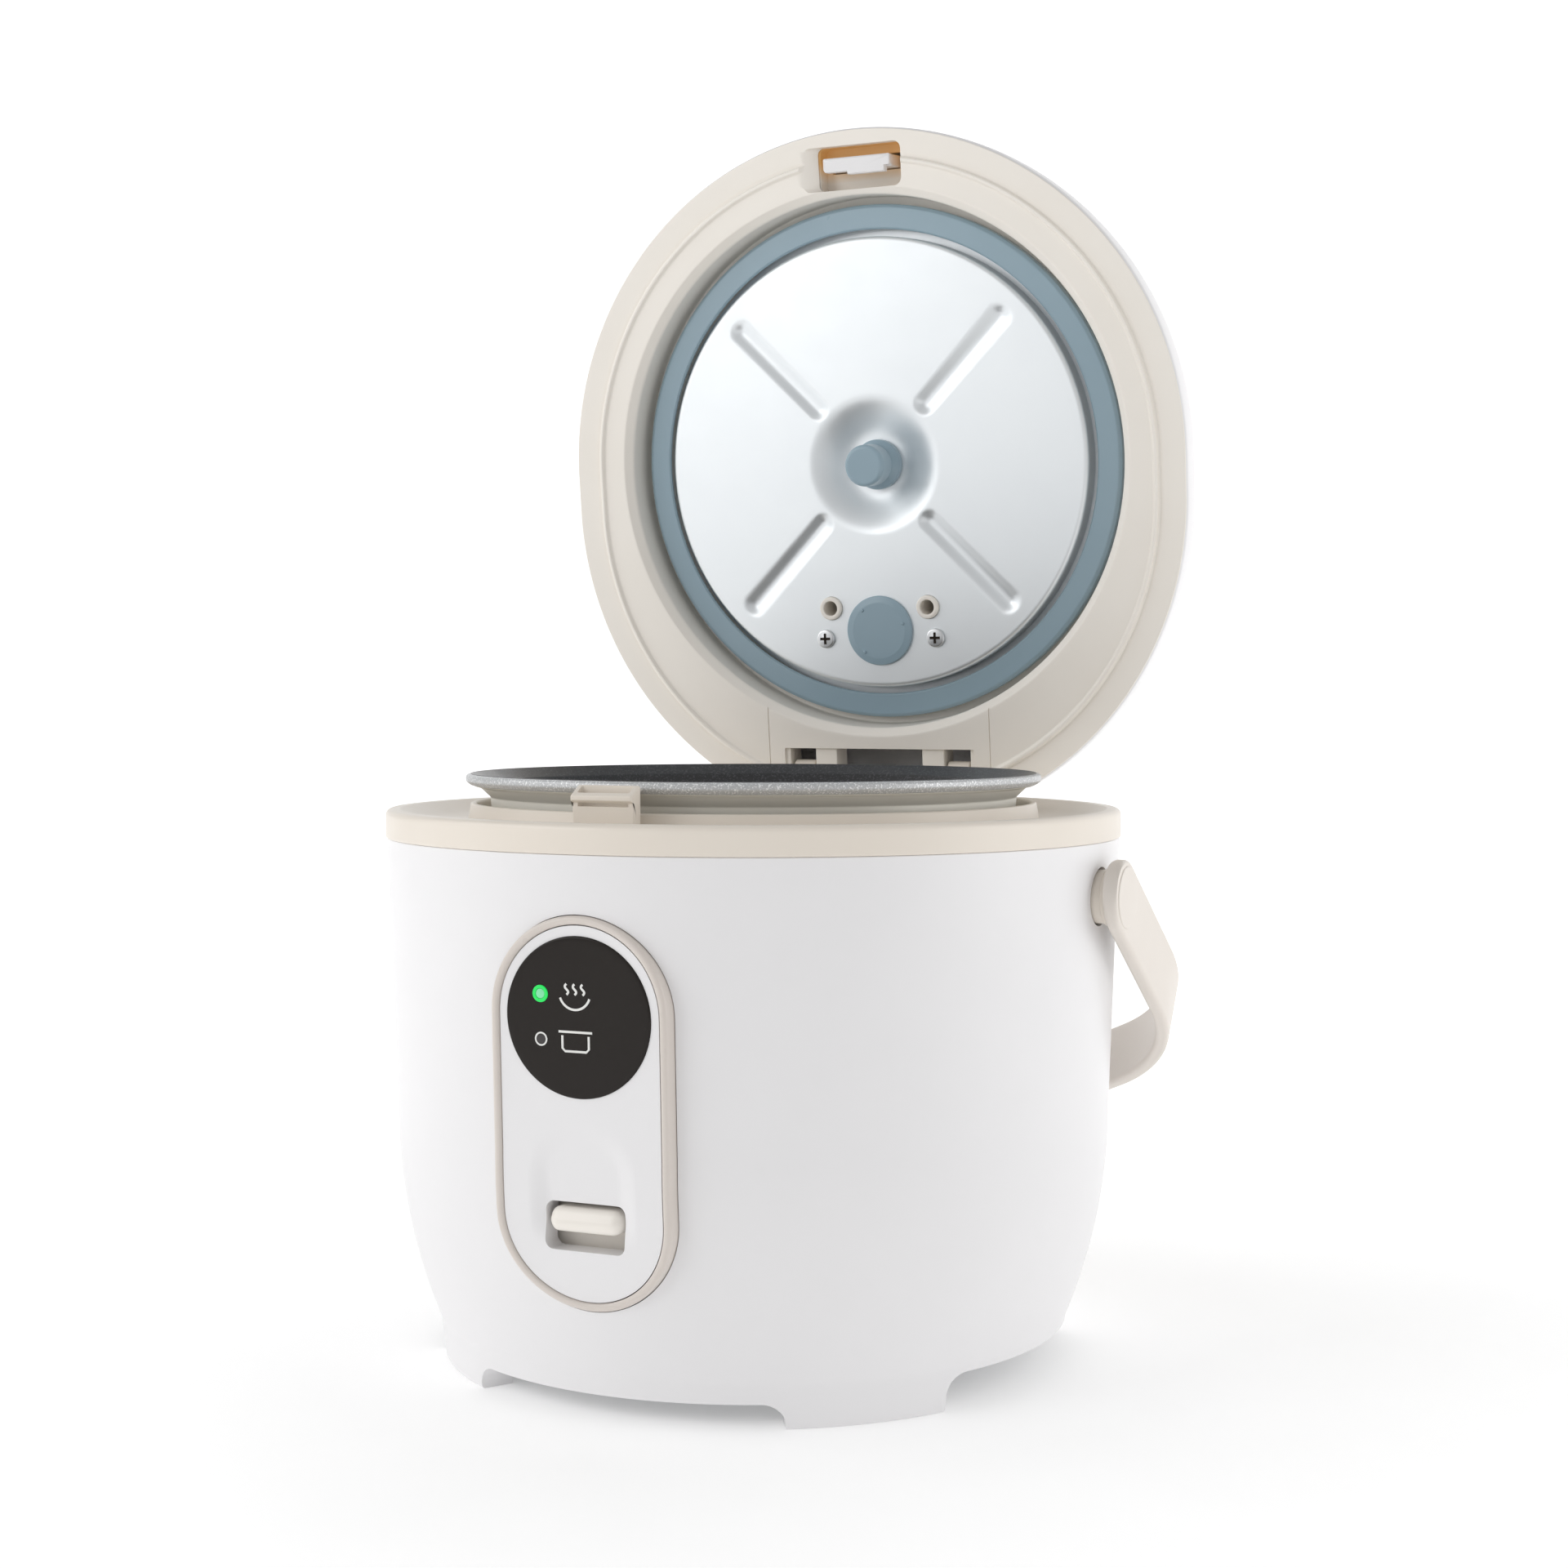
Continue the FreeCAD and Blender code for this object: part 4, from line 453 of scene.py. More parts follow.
LAMP_X = -10.1
LAMP_UP = 106.8
LAMP_LOW = 95.8
LAMP_RING = rounded([(1.25, 0.3, 0), (2.1, 0.3, 0), (2.1, 0.95, 0.2), (1.25, 0.95, 0.2)])
LAMP_CORE = rounded([(0, 0.3, 0), (1.2, 0.3, 0), (1.2, 0.85, 0.2), (0, 0.95, 0)])
DARK_RING = rounded([(1.3, 0.3, 0), (1.7, 0.3, 0), (1.7, 0.8, 0), (1.3, 0.8, 0)])
DARK_CORE = rounded([(0, 0.3, 0), (1.25, 0.3, 0), (1.25, 0.75, 0.1), (0, 0.8, 0)])
# Tinted acrylic: a lit green ring round a paler core above, a smoked lens that stays dark below.
# The white ring and the marks are screen-printed ink, which is matt.
green_glow = lens("green_lens", "#17B04A", "#14C24E", 0.75)
pale_glow = lens("pale_green_lens", "#6FC492", "#86D9A8", 0.35)
dark_lens = lens("smoked_lens", "#3A3636", "#3A3636", 0.0)
white_ink = moulded("white_ink", "#EFEFEC", "#E2E2DE", 0.5, 0.3, 0.004)
lamp_shapes = [
    ("lamp_upper_ring", green_glow, LAMP_RING, LAMP_UP, "lamp_upper", "lamp_lens_green"),
    ("lamp_upper_core", pale_glow, LAMP_CORE, LAMP_UP, "lamp_upper", "lamp_lens_green"),
    ("lamp_lower_ring", white_ink, DARK_RING, LAMP_LOW, "lamp_lower", "lamp_lens_dark"),
    ("lamp_lower_core", dark_lens, DARK_CORE, LAMP_LOW, "lamp_lower", "lamp_lens_dark")]
for name, material, outline, height, node, finish in lamp_shapes:
    lamp = piece(name, material, on_panel(outline, LAMP_X, height, 48))
    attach(lamp, "body")
    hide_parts(node)

INK_HALF = 0.28
INK_LOW = 0.6
INK_HIGH = 0.82


def stroke(points):
    """A printed line: its two sides lie half a width to either side of the path, on the disc's face."""
    along = np.gradient(points, axis=0)
    across = np.stack([-along[:, 1], along[:, 0]], -1) / np.hypot(*along.T)[:, None] * INK_HALF
    low, high = (on_wall(points + side, INK_LOW) for side in (across, -across))
    low_out, high_out = (on_wall(points + side, INK_HIGH) for side in (across, -across))
    return np.stack([low, low_out, high_out, high], 1), False, True


run = np.linspace(0, 1, 24)
waves = [np.stack([x + 0.45 * np.sin(TURN * run), 106.9 + 2.6 * run], -1) for x in (-2.8, -0.6, 1.6)]
bowl = arc((-4.6, 106.1), (-0.6, 103.3), (3.4, 106.1), 30)
pot_side = np.array([(-4.2, 97.0), (-4.2, 93.9), (-3.5, 93.2), (2.3, 93.2), (3.0, 93.9), (3.0, 97.0)])
pot_lid = np.array([(-5.2, 97.9), (-2.2, 97.9), (1.0, 97.9), (4.0, 97.9)])
marks = piece("printed_marks", white_ink, *[stroke(path) for path in (*waves, bowl, pot_side, pot_lid)])
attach(marks, "body")

# Cook lever paddle
# Ivory thumb bar in the slot; pressing it down rocks the lever under the pot.
# A moulded bar with round ends and, behind the slot, a shield that stands upright when pressed.

PADDLE = rounded([(-87.0, 48.7, 0.3), (-95.6, 48.7, 1.6), (-96.7, 51.0, 2.4), (-95.2, 54.7, 1.8),
                  (-86.8, 54.7, 0.3)])
SHIELD = rounded([(-86.9, 41.5, 0.2), (-88.0, 41.5, 0.2), (-86.6, 60.0, 0.2), (-85.5, 60.0, 0.2)])
# Ivory ABS: lighter and warmer than the panel, so that the bar stands out in its slot.
ivory_plastic = moulded("ivory_abs", "#F8F3EC", "#F3EDE4", 0.34, 0.5, 0.004)
paddle = piece("paddle_bar", ivory_plastic, bar(PADDLE, 10.0, 2.8, steps=10), bar(SHIELD, 13.0, 0.3))
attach(paddle, "cook_lever")
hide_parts("switch_paddle")

# Bail handle
# Cream strap bent round the back in one curve, with a round eye at each end on a boss and a flush cap.
# A flat section carried along arm, corner and back arcs, then swung down to where it hangs.

HANG = np.radians(33.6)
ARM = 103.8
CORNER = 64.0
BACK = 125.5
SPREAD = ARM - CORNER
BACK_MID = -1.0
LEAN = np.arccos(SPREAD / (BACK - CORNER))
CORNER_Y = BACK_MID + (BACK - CORNER) * np.sin(LEAN)
STRAP_HALF = 9.7
STRAP_IN = -1.3
STRAP_OUT = 2.5
STRAP_ROUND = 1.4
EYE_RUN = 18.0


def hung(points):
    """Handle points with the pivot at the origin, swung down about the pivot's axis."""
    x, y, z = points[..., 0], points[..., 1], points[..., 2]
    back = y * np.cos(HANG) + z * np.sin(HANG)
    up = PIVOT_Z - y * np.sin(HANG) + z * np.cos(HANG)
    return np.stack([x, back, up], -1)


def handle_sheet():
    """Centre line: c + r (cos a, sin a) for arm, corner and back. Half width: sqrt(R^2 - v^2) round the eye's
    end (v < 0), then the strap's own half width R."""
    section = rounded([(STRAP_IN, -STRAP_HALF, STRAP_ROUND), (STRAP_OUT, -STRAP_HALF, STRAP_ROUND),
                       (STRAP_OUT, STRAP_HALF, STRAP_ROUND), (STRAP_IN, STRAP_HALF, STRAP_ROUND)], 6)
    eye = -STRAP_HALF * np.cos(np.linspace(0, 0.5 * np.pi, 24))
    run = np.concatenate([eye, np.linspace(0, EYE_RUN, 19)[1:], np.linspace(EYE_RUN, CORNER_Y, 12)[1:]])
    bend = np.linspace(0, LEAN, 28)[1:]
    back = np.linspace(LEAN, np.pi - LEAN, 60)[1:-1]
    angle = np.concatenate([0 * run, bend, back, np.pi - bend[::-1], 0 * run + np.pi])
    counts = [len(run), len(bend), len(back), len(bend), len(run)]
    centre_x = np.repeat([SPREAD, SPREAD, 0, -SPREAD, -SPREAD], counts)
    corners_y = np.repeat([CORNER_Y, BACK_MID, CORNER_Y], counts[1:-1])
    centre_y = np.concatenate([run, corners_y, run[::-1]])
    radius = np.repeat([CORNER, CORNER, BACK, CORNER, CORNER], counts)
    on_arm = np.abs(np.sin(angle)) < 1e-6
    into_eye = np.where(on_arm, np.minimum(centre_y, 0), 0)
    width = np.sqrt(np.maximum(STRAP_HALF ** 2 - into_eye ** 2, 0))
    out, up = section.T
    x = centre_x[:, None] + (radius[:, None] + out) * np.cos(angle)[:, None]
    y = centre_y[:, None] + (radius[:, None] + out) * np.sin(angle)[:, None]
    z = up * (width / STRAP_HALF)[:, None]
    return hung(np.stack([x, y, z], -1)), False, True


def sideways(outline, side, count=96):
    """An outline of (radius, distance from the middle) turned about the handle's axis."""
    grid, around, along = turned(outline, count)
    return np.stack([side * grid[..., 2], grid[..., 0], PIVOT_Z + grid[..., 1]], -1), around, along


# Cream ABS from a finely etched mould: dull, with no sharp highlight along the strap.
handle_cream = moulded("dull_cream_abs", "#E6DFD7", "#E1D9D0", 0.42, 0.5, 0.004)
handle = piece("bail_strap", handle_cream, handle_sheet())
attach(handle, "handle")
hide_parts("carry_handle")
BOSS_OUTLINE = rounded([(3.0, 94.0, 0), (7.0, 94.0, 0), (7.0, 101.0, 0.1), (7.5, 101.1, 0.2),
                        (7.5, 102.3, 0.3), (3.0, 102.3, 0)])
CAP_OUTLINE = rounded([(0, 104.9, 0), (8.1, 104.9, 0), (8.1, 106.6, 0.35), (0, 106.7, 0)])
for side, name in ((-1, "left"), (1, "right")):
    boss = piece("boss_" + name, cream_plastic, sideways(BOSS_OUTLINE, side))
    cap = piece("cap_" + name, handle_cream, sideways(CAP_OUTLINE, side))
    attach(boss, "body")
    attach(cap, "handle")
    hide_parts("pivot_boss_" + name)
    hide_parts("pivot_cap_" + name)

# Inner pot
# Drawn aluminium bowl with a rolled, speckled lip over a stepped neck; its inside has a dark non-stick coat.
# The bowl and its coat are two turned skins that meet on the lip.


def metal(name, colour, shade, gloss, grain, relief, metallic=1.0):
    """Metal with the moulded skin's drift, patches and grain; oxide and coats make it less metallic."""
    material = moulded(name, colour, shade, gloss, grain, relief)
    material.node_tree.nodes["Principled BSDF"].inputs["Metallic"].default_value = metallic
    return material


def speckled(name, ground, fleck, gloss, size, metallic=0.0):
    """A sprayed coat: flecks of a given size in mm show where the noise is high."""
    material = metal(name, ground, ground, gloss, 0.4, 0.02, metallic)
    tree = material.node_tree
    shader = tree.nodes["Principled BSDF"]
    place = add(tree, "ShaderNodeTexCoord", {}).outputs["Object"]
    drops = add(tree, "ShaderNodeTexNoise", {"Vector": place, "Scale": 1 / (size * MM), "Detail": 3.0})
    fleck_share = add(tree, "ShaderNodeMapRange", {
        "Value": drops.outputs["Fac"], "From Min": 0.52, "From Max": 0.66})
    tint = add(tree, "ShaderNodeMix", {0: fleck_share.outputs["Result"], 6: linear(ground), 7: linear(fleck)},
               data_type="RGBA")
    tree.links.new(tint.outputs[2], shader.inputs["Base Color"])
    return material


POT_OUTSIDE = rounded([
    (0, 61.3, 0), (69.4, 61.3, 14), (71.6, 147.2, 4), (71.9, 151.0, 0.7), (74.6, 153.5, 0.5),
    (76.6, 154.1, 0.3), (76.6, 155.5, 0), (73.4, 154.6, 1.5), (70.9, 150.9, 3), (70.9, 146, 3),
    (68.8, 62.1, 14), (0, 62.1, 0)], 8)
POT_LIP = rounded([
    (75.4, 153.9, 0.2), (77.4, 154.4, 0.9), (78.6, 155.4, 0.9), (78.5, 157.0, 0.8), (77.3, 157.3, 0.5),
    (75.6, 156.4, 0.6), (74.6, 154.6, 0.3)])
POT_INSIDE = rounded([
    (0, 62.1, 0), (68.8, 62.1, 14), (70.9, 146, 3), (70.9, 150.9, 3), (73.6, 154.9, 1.5),
    (77.4, 157.35, 0.2), (77.0, 157.45, 0.2), (72.9, 154.6, 1.5), (70.1, 150.7, 3), (70.1, 146, 3),
    (68.1, 62.8, 14), (0, 62.8, 0)], 8)
# Anodised aluminium is pale and satin, the sprayed lip is grey with light flecks, and the non-stick coat is
# near black with grey flecks and a low sheen.
bowl_metal = metal("anodised_aluminium", "#F2F0E8", "#ECEAE2", 0.34, 0.5, 0.004, 0.2)
lip_metal = speckled("sprayed_aluminium", "#C2C4C6", "#F6F7F8", 0.4, 0.5, 0.3)
pot_coat = speckled("non_stick_coat", "#2B2B2D", "#4C4C4F", 0.3, 0.6)
bowl_skin = piece("pot_bowl", bowl_metal, turned(POT_OUTSIDE))
lip_skin = piece("pot_lip", lip_metal, turned(POT_LIP))
coat_skin = piece("pot_lining", pot_coat, turned(POT_INSIDE))
for skin in (bowl_skin, lip_skin, coat_skin):
    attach(skin, "pot")
    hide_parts("inner_pot")

# Lid cover
# White domed moulding over the lid, with openings for the hinge, the release button and the steam vent.
# Its profile is turned as if closed, then swung open about the hinge like every lid piece.

LID = 155.4
OPEN = np.radians(83.3)


def opened(sheet):
    """A sheet shaped on the closed lid, swung back about the hinge."""
    grid, around, along = sheet
    y, z = grid[..., 1] - HINGE_Y, grid[..., 2] - HINGE_Z
    swung = np.stack([grid[..., 0], HINGE_Y + y * np.cos(OPEN) + z * np.sin(OPEN),
                      HINGE_Z - y * np.sin(OPEN) + z * np.cos(OPEN)], -1)
    return swung, around, along


STRETCH = 11.0
LID_BACK = 98.0
COVER_WALL = 2.2
UNLIMITED = 999.0
NOTCH_Y = 86.6
NOTCH_TOP = 158.9
BUTTON_WAY = (-13.7, 13.7, LID + 8.7, LID + 17.8)
VENT_HOLE = 15.2
VENT_Y = 45.0
COVER_OUTSIDE = np.vstack([
    arc((0, LID + 29.5), (48, LID + 27.2), (88.5, LID + 20.5), 40),
    arc((88.5, LID + 20.5), (97.4, LID + 9.0), (99.6, LID - 4.8), 26)[1:],
    corner_arc((98.6, LID - 4.8), 1.0, 0, -90)[1:]])
COVER_INSIDE = np.vstack([
    corner_arc((97.9, LID - 5.5), 0.3, 270, 180),
    arc((97.6, LID - 5.5), (95.2, LID + 9.0), (86.7, LID + 18.9), 20)[1:],
    arc((86.7, LID + 18.9), (48, LID + 25.0), (0, LID + 27.3), 30)[1:]])
COVER_OUTLINE = np.vstack([COVER_OUTSIDE, COVER_INSIDE])
COVER_LIMIT = np.repeat([UNLIMITED, LID_BACK - COVER_WALL], [len(COVER_OUTSIDE), len(COVER_INSIDE)])


def drawn_back(sheet, share, limit=UNLIMITED):
    """The rear half (y > 0) of a turned sheet moved back, each point by its share of the stretch, up to a
    limit."""
    grid, around, along = sheet
    x, y, z = grid[..., 0], grid[..., 1], grid[..., 2]
    row = np.arange(len(grid))[:, None]
    rear = (row > 0) & (row * 2 < len(grid))
    moved = np.minimum(y + np.where(rear, STRETCH * share, 0), limit)
    return np.stack([x, moved, z], -1), around, along


cover_grid = turned(COVER_OUTLINE)[0]
cover = piece("lid_dome", white_plastic, opened(drawn_back((cover_grid, True, False), 1.0, COVER_LIMIT)))
cut(cover,
    opened(prism(oblong(-150, 150, LID_BACK, 160, 1.0), 100, 250, 2)),
    opened(prism(oblong(-34.8, 34.8, NOTCH_Y, 160, 1.0), 130, NOTCH_TOP, 2)),
    opened(prism(oblong(*BUTTON_WAY, 1.5), -130, -60, 1)),
    opened(prism(circle(VENT_HOLE, 0, VENT_Y), 160, 220, 2)))
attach(cover, "lid")
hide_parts("lid_cover")

# Lid frame
# Cream inner moulding: bead, flat face, plate recess, hinge knuckles, two steam tubes and the hook's well.
# Turned as if closed, opened for the hinge and the well, with the small parts set in.

FACE = LID - 6.2
FACE_IN = 82.6
SHARE_EASE = 5.0
FRAME_OUTLINE = rounded([
    (99.1, LID - 6.3, 0.25), (92.4, FACE + 0.3, 1.5), (91.3, FACE + 0.5, 0.4), (90.9, FACE - 1.0, 0.5),
    (90.0, FACE - 1.0, 0.5), (89.4, FACE, 0.5), (FACE_IN, FACE, 0.8), (80.3, FACE + 2.3, 1.6),
    (80.3, LID + 8, 0.4), (0, LID + 8, 0), (0, LID + 10, 0), (82.3, LID + 10, 0.3),
    (82.3, FACE + 2.9, 0.3), (97.5, LID - 3.4, 0.3), (97.5, LID - 5.85, 0.1), (99.1, LID - 5.85, 0.1)])
FRAME_SHARE = np.clip((FRAME_OUTLINE[:, 0] - FACE_IN) / SHARE_EASE, 0, 1)
KNUCKLE = rounded([(83.6, 150.2, 0.3), (95, 149.9, 3.8), (99.2, 150.6, 3.8), (99.2, 157.8, 3.8),
                   (95, 158.3, 3.8), (83.6, 158.3, 0.3)])
TUBE_X = 16.0
TUBE_Y = 43.6
TUBE_BORE = 2.25
STEAM_TUBE = rounded([(TUBE_BORE, LID - 1.2, 0.3), (3.6, LID - 1.2, 0.6), (3.6, LID + 8.2, 0),
                      (TUBE_BORE, LID + 8.2, 0)])
MOULD_LINE_X = 36.6
MOULD_LINE_HALF = 0.15
WELL = (-11.7, 14.8, -94.6, -82.0)
POCKET_MOUTH = (-19.8, 16.6, -95.2, -81.6)
POCKET_NECK = (-16.4, 15.4, -94.8, -81.8)
HOOK_WAY = (-10.3, 12.1, -92.3, -87.4)


def loft(rows, capped=False):
    """Outlines of equal count at their heights, joined into a closed skin: a ring, or a block with capped
    ends."""
    if capped:
        first, last = [(flat * 0 + flat.mean(0), height) for flat, height in (rows[0], rows[-1])]
        rows = [first, *rows, last]
    return np.stack([np.insert(flat, 2, height, axis=1) for flat, height in rows], 1), True, not capped


def grown(bounds, step):
    """Left, right, low and high moved outwards."""
    return bounds[0] - step, bounds[1] + step, bounds[2] - step, bounds[3] + step


# Cream ABS painted lighter than the ring: painted light for the open lid's brighter face, with the same soft
# sheen.
lid_lit_cream = moulded("cream_abs_painted_light", "#F8F3EB", "#F3EDE4", 0.36, 0.5, 0.004)
inner_frame = piece("lid_liner", lid_lit_cream, opened(drawn_back(turned(FRAME_OUTLINE), FRAME_SHARE)))
cut(inner_frame,
    opened(prism(oblong(-150, 150, LID_BACK - 2.4, 160, 1.0), 100, 250, 2)),
    opened(prism(oblong(-31.5, 31.5, NOTCH_Y, 160, 0.5), 130, NOTCH_TOP, 2)),
    opened(loft([(oblong(*POCKET_MOUTH, 2.6), FACE - 4), (oblong(*POCKET_NECK, 2.4), FACE - 0.1),
                 (oblong(*WELL, 1.8), FACE + 3.2), (oblong(*WELL, 1.8), 158)], True)),
    *[opened(prism(oblong(x - MOULD_LINE_HALF, x + MOULD_LINE_HALF, 72, 97, 0.1), FACE - 3, FACE + 0.3, 2))
      for x in (-MOULD_LINE_X, MOULD_LINE_X)],
    *[opened(prism(circle(TUBE_BORE, x, TUBE_Y, 40), 150, 200, 2)) for x in (-TUBE_X, TUBE_X)])
knuckles = piece("lid_knuckles", lid_lit_cream, *[
    opened(bar(KNUCKLE, half, 0.3, side * middle)) for side in (-1, 1)
    for middle, half in ((17.75, 3.55), (31.95, 2.05))])
tubes = piece("steam_tubes", lid_lit_cream, *[
    opened(turned(STEAM_TUBE, 48, x, TUBE_Y)) for x in (-TUBE_X, TUBE_X)])

# Painted light: the well turns amber and gets a painted glow where light comes through the cover, from its
# middle upwards on the open lid; below that it stays plain cream.
LIT_LOW = 0.333
LIT_HIGH = 0.338
LIT_POWER = 0.22
amber = moulded("cream_abs_lit_through", "#D9B27C", "#CFA56C", 0.45, 0.5, 0.004)
amber_tree = amber.node_tree
amber_shader = amber_tree.nodes["Principled BSDF"]
amber_place = add(amber_tree, "ShaderNodeTexCoord", {}).outputs["Object"]
amber_spot = add(amber_tree, "ShaderNodeSeparateXYZ", {"Vector": amber_place})
amber_lit = add(amber_tree, "ShaderNodeMapRange", {
    "Value": amber_spot.outputs["Z"], "From Min": LIT_LOW, "From Max": LIT_HIGH})
amber_glow = add(amber_tree, "ShaderNodeMath", {
    0: amber_lit.outputs["Result"], 1: LIT_POWER}, operation="MULTIPLY")
amber_tint = add(amber_tree, "ShaderNodeMix", {
    0: amber_lit.outputs["Result"], 6: linear("#EFE8DE"),
    7: amber_shader.inputs["Base Color"].links[0].from_socket}, data_type="RGBA")
amber_tree.links.new(amber_tint.outputs[2], amber_shader.inputs["Base Color"])
amber_tree.links.new(amber_glow.outputs["Value"], amber_shader.inputs["Emission Strength"])
amber_shader.inputs["Emission Color"].default_value = linear("#C99A5C")
well = piece("hook_well", amber, opened(loft([
    (oblong(*grown(WELL, 1.6), 2.4), FACE + 3.4), (oblong(*grown(WELL, 0.1), 1.8), FACE + 3.4),
    (oblong(*grown(WELL, 0.1), 1.8), LID + 2.4), (oblong(*HOOK_WAY, 0.6), LID + 2.6),
    (oblong(*HOOK_WAY, 0.6), LID + 5.2), (oblong(*grown(WELL, 1.6), 2.4), LID + 5.2)])))
for moulding in (inner_frame, knuckles, tubes, well):
    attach(moulding, "lid")
    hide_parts("lid_frame", "lid_deck")

# Inner plate
# Satin aluminium disc pressed with a round dish and four grooves, its edge turned up into the frame.
# Heights over a grid of rays and rings: z = lid plane + dish(r) + groove(r, angle).

DISH_DEPTH = 5.0
DISH_EDGE = 21.6
DISH_EASE = 13.0
GROOVE_DEPTH = 1.4
GROOVE_START = 25.0
GROOVE_END = 59.5
GROOVE_HALF = 3.9
GROOVE_EASE = 3.4
# Aluminium with a satin oxide: broad sweeps from light to dark, and no sharp reflections.
satin_aluminium = metal("satin_aluminium", "#EFF3F5", "#EAEEF1", 0.44, 0.25, 0.004, 0.75)


def plate_sheet():
    """Dish: depth * smooth((edge - r) / ease). Groove: depth * smooth((half - away) / ease), where away is
    the distance to a line at 45 degrees between two radii."""
    edge = np.vstack([corner_arc((67.0, LID + 1.2), 1.2, 270, 360), [
        (68.2, LID + 2.5), (68.2, LID + 7.2), (71.4, LID + 7.2), (71.4, LID + 7.8), (67.4, LID + 7.8),
        (67.4, LID + 1.6), (66.8, LID + 0.8)]])
    out = np.stack([np.linspace(3.2, 66.6, 110), np.full(110, LID)], -1)
    back = np.stack([np.linspace(66.0, 3.2, 40), np.full(40, LID + 0.8)], -1)
    radius, level = np.vstack([out, edge, back]).T
    angle = np.linspace(0, TURN, 400, endpoint=False)[:, None]
    x, y = radius * np.cos(angle), radius * np.sin(angle)
    rise = DISH_DEPTH * smooth((DISH_EDGE - radius) / DISH_EASE) + 0 * angle
    for ray in np.radians([45, 135, 225, 315]):
        along, across = x * np.cos(ray) + y * np.sin(ray), y * np.cos(ray) - x * np.sin(ray)
        away = np.hypot(across, along - np.clip(along, GROOVE_START, GROOVE_END))
        rise = rise + GROOVE_DEPTH * smooth((GROOVE_HALF - away) / GROOVE_EASE)
    return np.stack([x, y, level + rise], -1), True, True


plate = piece("pressed_plate", satin_aluminium, opened(plate_sheet()))
cut(plate, *[opened(prism(circle(3.7, x, TUBE_Y, 48), 150, 170, 2)) for x in (-TUBE_X, TUBE_X)])
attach(plate, "lid")
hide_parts("inner_plate")

# Seal, knob and valve pad
# Blue-grey silicone: the ring that closes on the pot, the knob that holds the plate, the steam valve's pad.
# Turned outlines; the pad carries three small bumps.

# Moulded silicone: blue-grey and smooth, with a low sheen.
silicone = moulded("blue_grey_silicone", "#99B0BC", "#91A8B5", 0.3, 0.6, 0.01)
SEAL_OUTLINE = rounded([
    (70.4, LID + 2.7, 0.3), (70.9, LID + 2.3, 0.3), (76.8, LID + 2.3, 0.9), (77.8, LID + 3.1, 0.7),
    (77.8, LID + 7.0, 0.3), (75.0, LID + 7.0, 0.3), (75.0, LID + 3.4, 0.2), (70.4, LID + 3.3, 0.2)])
KNOB_OUTLINE = rounded([
    (0, LID - 7.9, 0), (6.3, LID - 7.9, 1.1), (6.3, LID - 0.6, 0.8), (5.4, LID + 0.4, 0.6),
    (7.6, LID + 2.6, 0.8), (7.6, LID + 4.9, 0.3), (3.0, LID + 4.9, 0), (3.0, LID + 10.2, 0),
    (0, LID + 10.2, 0)])
PAD_Y = 50.6
PAD_OUTLINE = rounded([
    (0, LID - 1.35, 0), (8.6, LID - 1.35, 3.0), (10.7, LID - 1.0, 0.4), (10.7, LID - 0.05, 0.2),
    (2.4, LID - 0.05, 0), (2.4, LID + 4, 0), (0, LID + 4, 0)])
BUMP = rounded([(0, LID - 1.7, 0), (0.5, LID - 1.7, 0.4), (0.6, LID - 0.9, 0), (0, LID - 0.9, 0)])
BUMP_OUT = 8.2
bump_turn = np.radians([230, 345, 127])
soft_parts = [
    ("seal_ring", [turned(SEAL_OUTLINE)], "lid_seal"),
    ("plate_knob", [turned(KNOB_OUTLINE, 96)], "centre_grommet"),
    ("valve_pad", [turned(PAD_OUTLINE, 96, 0, PAD_Y)] + [
        turned(BUMP, 24, BUMP_OUT * np.cos(a), PAD_Y + BUMP_OUT * np.sin(a)) for a in bump_turn],
     "steam_pad")]
for name, sheets, node in soft_parts:
    rubber = piece(name, silicone, *[opened(sheet) for sheet in sheets])
    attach(rubber, "lid")
    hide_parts(node)

# Plate screws
# Two zinc-plated cross-head screws through the plate into the frame.
# Domed heads with the cross cut in.

SCREW_X = 18.2
SCREW_Y = 53.0
# Zinc-plated steel: bright, with slightly blurred reflections.
zinc_steel = metal("zinc_plated_steel", "#E6E7E8", "#D6D8DA", 0.36, 0.3, 0.004)
SCREW = rounded([(0, LID - 1.25, 0), (2.9, LID - 1.0, 0.6), (2.9, LID - 0.05, 0.1), (1.35, LID - 0.05, 0),
                 (1.35, LID + 9, 0), (0, LID + 9, 0)])


def crosses(long, short, low, high):
    """Two upright blocks that cross, at each screw."""
    return [opened(prism(oblong(x - wide, x + wide, SCREW_Y - tall, SCREW_Y + tall, 0.15, 4), low, high, 2))
            for x in (-SCREW_X, SCREW_X) for wide, tall in ((long, short), (short, long))]


screws = piece("cross_head_screws", zinc_steel, *[
    opened(turned(SCREW, 40, x, SCREW_Y)) for x in (-SCREW_X, SCREW_X)])
cut(screws, *crosses(1.7, 0.42, LID - 3, LID + 0.5))
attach(screws, "lid")
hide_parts("plate_screws")
# Painted shade: a dark, dull sheet deep in each cross, where the recess lies in shadow.
painted_cross_shade = metal("painted_shade_in_cross", "#4A423C", "#3C3631", 0.6, 0.3, 0.004)
recess = piece("screw_recesses", painted_cross_shade, *crosses(1.75, 0.47, LID - 0.75, LID - 0.3))
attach(recess, "lid")

# Latch hook
# White hook bar in the well at the front of the lid; the release button rocks it clear of the catch.
# A moulded bar with its nose along the lower edge.

